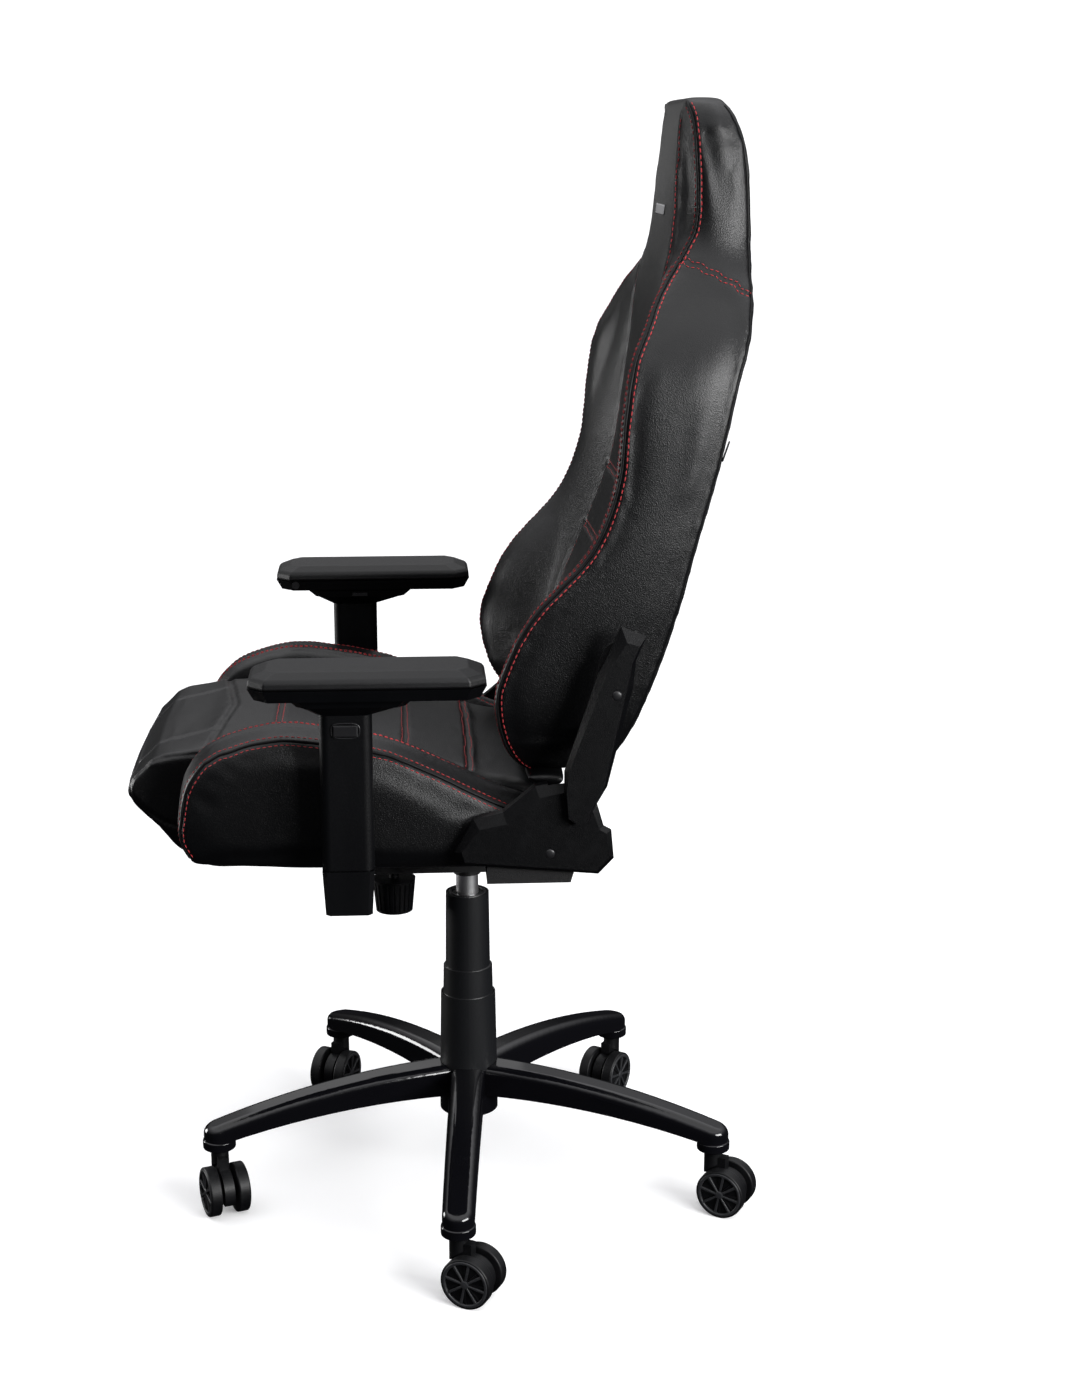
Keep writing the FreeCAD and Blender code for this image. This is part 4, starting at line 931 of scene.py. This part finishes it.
pale_thread = Finish("pale_embroidery", (0.62, 0.62, 0.62), 0.6, sheen=0.2)
pale_rows = pale_thread.node(
    "ShaderNodeTexWave", {"wave_type": "BANDS", "bands_direction": "Z"},
    {"Vector": pale_thread.place, "Scale": 420.0, "Distortion": 0.6},
)
pale_thread.paint(colour=pale_thread.mix(pale_rows, (0.48, 0.48, 0.49), (0.72, 0.72, 0.72)))
pale_thread.relief(pale_rows, 0.0003, 0.6)
badge = bmesh.new()
bmesh.ops.create_grid(badge, x_segments=24, y_segments=5, size=0.5)
for vert in badge.verts:
    place, normal, _, _ = back_tree.find_nearest(Vector((vert.co.x * 0.084, 0.225, 1.226 + vert.co.y * 0.011)))
    vert.co = place + normal * 0.0007
bmesh.ops.solidify(badge, geom=badge.faces, thickness=0.0009)
new_piece("head_badge", badge, pale_thread.material, "back")
for hand, side in ((1, "left"), (-1, "right")):
    place, normal, _, _ = back_tree.find_nearest(Vector((hand * 0.235, 0.300, 0.966)))
    pull = bmesh.new()
    bmesh.ops.create_cube(pull, size=1.0)
    for vert in pull.verts:
        taper = 0.0055 if vert.co.z < 0 else 0.0032
        vert.co = Vector((vert.co.x * 0.0018, vert.co.y * taper, vert.co.z * 0.024))
    bmesh.ops.bevel(pull, geom=pull.edges[:], offset=0.0006, affect="EDGES", segments=2, profile=0.5, material=-1)
    turn = normal.to_track_quat("X", "Z").to_matrix().to_4x4()
    bmesh.ops.transform(pull, matrix=Matrix.Translation(place + normal * 0.0018) @ turn, verts=pull.verts)
    new_piece("zip_pull_" + side, pull, black_ring.material, "back")

# ---------------------------------------------------------------- armrests
# Each armrest is a steel post in a square plastic sleeve, with a flared top, a turn plate and a pad.
# The pad is soft integral-skin foam on a hard shell; its top is flat with a wide sloped edge.
soft_pad = Finish("soft_touch_pad", (0.0045, 0.0048, 0.0058), 0.45, specular=0.38)
pad_pore = soft_pad.cells(1600.0)
pad_hand = soft_pad.cloud(12.0, 4.0)
soft_pad.paint(
    colour=soft_pad.mix(pad_hand.above(0.3, 0.8), (0.0017, 0.0018, 0.0023), (0.0033, 0.0035, 0.0042)),
    roughness=0.42 + pad_hand * 0.12,
)
soft_pad.relief(pad_pore, 0.0003, 0.45)

post_plastic = Finish("armrest_sleeve_plastic", (0.0030, 0.0033, 0.0040), 0.36, specular=0.18)
post_pit = post_plastic.cells(1500.0)
post_rub = post_plastic.cloud(22.0, 4.0, 0.6, (1.0, 1.0, 0.3))
post_plastic.paint(
    colour=post_plastic.mix(post_rub, (0.0011, 0.0012, 0.0016), (0.0024, 0.0026, 0.0032)),
    roughness=0.34 + post_rub * 0.14,
)
post_plastic.relief(post_pit, 0.0003, 0.4)
post_plastic.on("arm_frames")
for side in ("left", "right"):
    post_plastic.on("arm_sleeve_" + side, "arm_mount_" + side, "turn_plate_" + side, "pad_shell_" + side,
                    "slide_plate_" + side)
    black_ring.on("height_button_" + side, "turn_button_" + side, "pad_button_" + side)


def clipped_plan(width, length, corner, middle_x, middle_y, z):
    """A level rectangle with its corners cut off."""
    half_x, half_y = width / 2, length / 2
    return [(middle_x + x, middle_y + y, z) for x, y in (
        (half_x, -half_y + corner), (half_x, half_y - corner), (half_x - corner, half_y),
        (-half_x + corner, half_y), (-half_x, half_y - corner), (-half_x, -half_y + corner),
        (-half_x + corner, -half_y), (half_x - corner, -half_y),
    )]


for side in ("left", "right"):
    low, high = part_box("pad_cushion_" + side)
    middle = (low + high) / 2
    width, length = high.x - low.x, high.y - low.y
    pad = loft([
        clipped_plan(width - 6.0e-3, length - 6.0e-3, 0.016, middle.x, middle.y, low.z + 0.0003),
        clipped_plan(width - 0.6e-3, length - 0.6e-3, 0.018, middle.x, middle.y, low.z + 0.0022),
        clipped_plan(width - 1.0e-3, length - 2.0e-3, 0.018, middle.x, middle.y, low.z + 0.0085),
        clipped_plan(width - 5.0e-3, length - 8.0e-3, 0.017, middle.x, middle.y, high.z - 0.0068),
        clipped_plan(width - 26.0e-3, length - 40.0e-3, 0.012, middle.x, middle.y, high.z),
    ])
    cushion = new_piece("arm_pad_" + side, pad, soft_pad.material, "pad_" + side)
    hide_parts("pad_cushion_" + side)
    rounding = cushion.modifiers.new("rounding", "BEVEL")
    rounding.width = 0.0022
    rounding.segments = 3
    rounding.limit_method = "ANGLE"
    rounding.angle_limit = math.radians(12)
    rounding.harden_normals = True
    low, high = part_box("height_button_" + side)
    hand = 1.0 if side == "left" else -1.0
    face_x = max(abs(low.x), abs(high.x)) - 0.003
    oval = bmesh.new()
    for reach, out in ((1.34, 0.0), (1.30, 0.0009), (1.12, 0.0009), (1.08, 0.0)):
        ring = bmesh.ops.create_circle(oval, segments=40, radius=1.0, cap_ends=False)["verts"]
        for index, vert in enumerate(ring):
            angle = math.tau * index / 40
            round_y = math.copysign(abs(math.cos(angle)) ** 0.6, math.cos(angle))
            round_z = math.copysign(abs(math.sin(angle)) ** 0.6, math.sin(angle))
            vert.co = (
                hand * (face_x + out),
                (low.y + high.y) / 2 + round_y * (high.y - low.y) / 2 * (1 + (reach - 1) * 0.5),
                (low.z + high.z) / 2 + round_z * (high.z - low.z) / 2 * reach,
            )
    loops = [oval.edges[index * 40:(index + 1) * 40] for index in range(4)]
    oval.edges.ensure_lookup_table()
    for first, second in zip(loops, loops[1:]):
        bmesh.ops.bridge_loops(oval, edges=list(first) + list(second))
    new_piece("height_bezel_" + side, oval, black_ring.material, "arm_" + side)

# ---------------------------------------------------------------- studio
# A wide pale floor under a soft dome that is bright overhead and dark low down, as in a black-flagged
# studio, with one large soft light behind the left shoulder, one low in front on the chair's right and a faint one
# at its right side.
floor_work = bmesh.new()
bmesh.ops.create_grid(floor_work, x_segments=4, y_segments=4, size=30.0)
floor_mesh = bpy.data.meshes.new("floor")
floor_work.to_mesh(floor_mesh)
floor_work.free()
floor = bpy.data.objects.new("floor", floor_mesh)
bpy.context.scene.collection.objects.link(floor)
paper = Finish("pale_floor", (0.90, 0.90, 0.90), 0.8, specular=0.1)
paper_tone = paper.cloud(0.8, 3.0)
paper.paint(colour=paper.mix(paper_tone, (0.89, 0.89, 0.89), (0.92, 0.92, 0.92)))
paper.shader.inputs["Emission Color"].default_value = (1.0, 1.0, 1.0, 1.0)
paper.shader.inputs["Emission Strength"].default_value = 0.22
floor.data.materials.append(paper.material)
floor.visible_diffuse = False
floor.visible_glossy = False

sky = bpy.data.worlds.new("studio")
bpy.context.scene.world = sky
sky.use_nodes = True
dome = sky.node_tree
direction = dome.nodes.new("ShaderNodeTexCoord")
parts = dome.nodes.new("ShaderNodeSeparateXYZ")
heights = dome.nodes.new("ShaderNodeValToRGB")
ray = dome.nodes.new("ShaderNodeLightPath")
backdrop = dome.nodes.new("ShaderNodeMix")
backdrop.data_type = "RGBA"
dome.links.new(direction.outputs["Generated"], parts.inputs["Vector"])
dome.links.new(parts.outputs["Z"], heights.inputs["Fac"])
dome.links.new(ray.outputs["Is Camera Ray"], backdrop.inputs[0])
dome.links.new(heights.outputs["Color"], backdrop.inputs[6])
backdrop.inputs[7].default_value = (1.0, 1.0, 1.0, 1.0)
dome.links.new(backdrop.outputs[2], dome.nodes["Background"].inputs["Color"])
stops = heights.color_ramp.elements
stops[0].position, stops[0].color = 0.0, (0.011, 0.011, 0.013, 1.0)
stops[1].position, stops[1].color = 1.0, (1.2, 1.2, 1.2, 1.0)
for height, level in ((0.12, 0.014), (0.30, 0.085), (0.50, 0.42), (0.75, 1.25)):
    stop = stops.new(height)
    stop.color = (level, level, level * 1.03, 1.0)
dome.nodes["Background"].inputs["Strength"].default_value = 1.25
for name, place, aim, width, height, power in (
    ("rear_side", (2.35, 2.35, 1.50), (0.0, 0.25, 1.15), 2.6, 0.9, 165.0),
    ("front_low", (-1.3, -2.8, 0.6), (-0.1, 0.1, 0.9), 1.0, 1.0, 40.0),
    ("far_side", (-2.4, -0.35, 1.45), (0.0, 0.25, 1.25), 1.4, 0.5, 0.9),
):
    lamp = bpy.data.objects.new(name, bpy.data.lights.new(name, "AREA"))
    bpy.context.scene.collection.objects.link(lamp)
    lamp.location = place
    lamp.rotation_euler = (Vector(aim) - Vector(place)).to_track_quat("-Z", "Y").to_euler()
    lamp.data.shape = "RECTANGLE"
    lamp.data.size = width
    lamp.data.size_y = height
    lamp.data.energy = power
    lamp.visible_diffuse = name == "rear_side"
    lamp.visible_camera = False
bpy.context.scene.view_settings.view_transform = "Standard"
